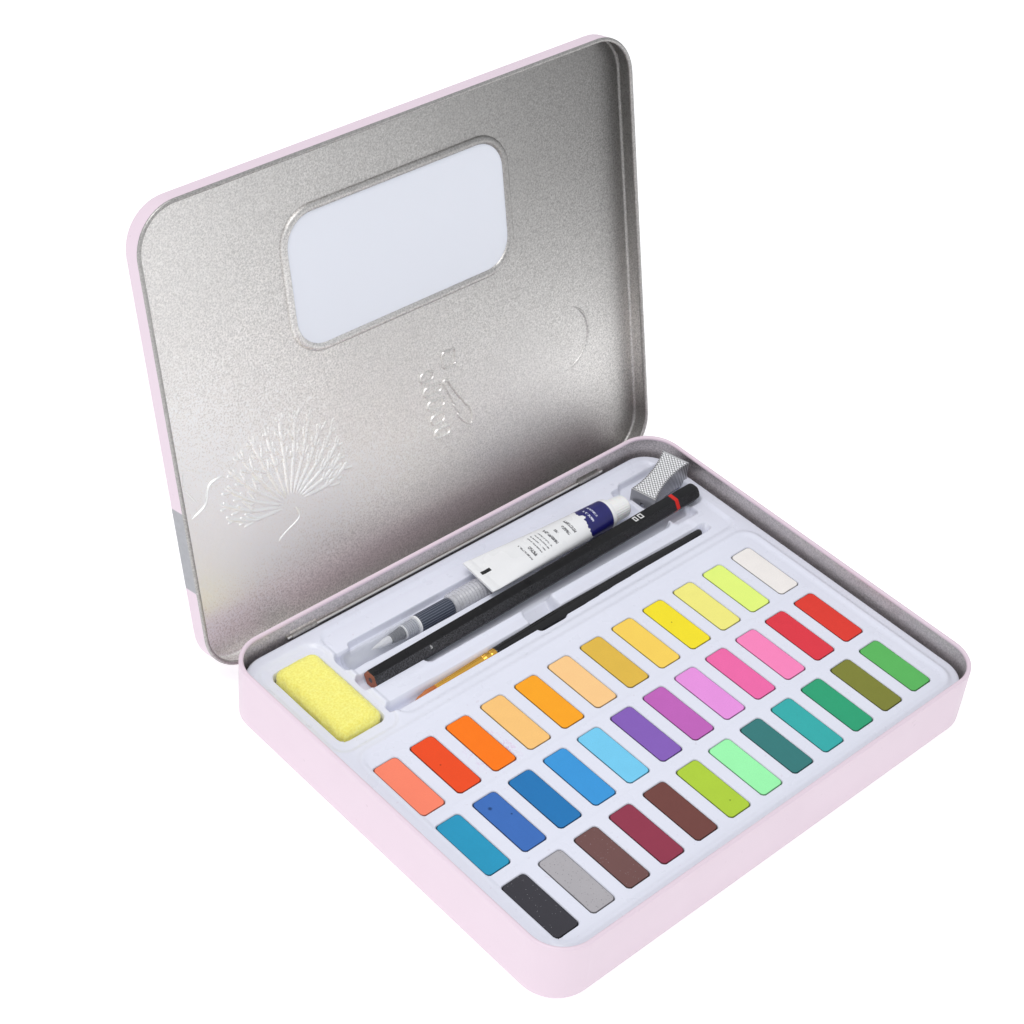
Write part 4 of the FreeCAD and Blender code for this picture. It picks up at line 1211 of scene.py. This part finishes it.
def build_sharpener():
    metal = Nodes("sharpener_metal", (150, 150, 152), 0.4, 0.8)
    x, y, _ = metal.axes()
    turn = (math.cos(SHARPENER_TURN), math.sin(SHARPENER_TURN))
    along = metal.add(metal.mul(x, turn[0]), metal.mul(y, turn[1]))
    # painted shade in the troughs of the fine ribs and a painted highlight on their crests
    ribs = metal.math("PINGPONG", along, 0.5 * MM)
    tone = metal.mix(metal.span(ribs, 0.0001, 0.00035), shade((90, 90, 94)), shade((205, 205, 207)))
    metal.paint(tone)
    metal.bump(metal.mul(ribs, 400.0), 0.5, 0.0002)
    dress("sharpener_body", metal)
    dress("sharpener_blade", plain("blade_steel", (200, 200, 204), 0.22, 1.0, 2500.0, 0.15))
    dress("sharpener_screw", plain("screw_steel", (180, 178, 172), 0.32, 1.0, 2500.0, 0.15))
    # the ground top: a waisted, sloping face with a raised knurl that stops short of its edges
    length, width, waist, flare, margin, pitch = 24.7, 11.9, 1.6, 0.65, 0.6, 1.5
    start, rise, edge = 6.4, (11.8 - 6.4) / 24.7, 0.3
    u, v = np.meshgrid(np.linspace(0.7, length - 0.7, 118), np.linspace(0, 1, 60), indexing="ij")
    t = u / length
    bulge = (waist + flare * 0.5) * (4 * t * (1 - t))
    back = flare * t - bulge - margin
    front = -width - flare * t + bulge + margin
    w = back + (front - back) * v
    pyramid = np.minimum(*(np.abs((along / pitch) % 1 - 0.5) * 2 for along in (u + w, u - w)))
    rim = np.minimum.reduce([u - 0.7, length - 0.7 - u, np.abs(w - back), np.abs(w - front)]) / edge
    lift = 0.16 * pyramid * np.clip(rim, 0, 1) + np.where(rim <= 0.01, -0.02, 0.01)
    peaks = np.where(rim > edge, pyramid, 1.0).ravel()
    faces = flipped(grid_faces(*u.shape))
    c, s = turn
    points = np.stack([u * c - w * s, u * s + w * c, start + rise * u + lift], -1).reshape(-1, 3)
    points += SHARPENER
    knurl = Nodes("knurled_metal", (225, 225, 226), 0.5, 0.25)
    peak = knurl.attribute("peak")
    worn = knurl.noise(500.0, 3.0)
    tone = knurl.mix(worn, shade((232, 232, 235)), shade((250, 250, 252)))
    # painted shade in the valleys between the knurl's peaks
    knurl.paint(knurl.mix(knurl.span(peak, 0.1, 0.34), shade((96, 96, 100)), tone))
    knurl.bump(knurl.noise(2600.0, 2.0), 0.2, 0.0001)
    add_piece("sharpener_knurl", points, faces, "sharpener", "sharpener_metal",
              materials=[knurl], attributes={"peak": peaks})


# ---- put together

make_camera()
make_stage()
lid_finish = finish_metal()
lid_embossing(lid_finish)
build_tray()
build_cakes()
build_sponge()
build_pencil()
build_brush()
build_water_brush()
build_tube()
build_sharpener()
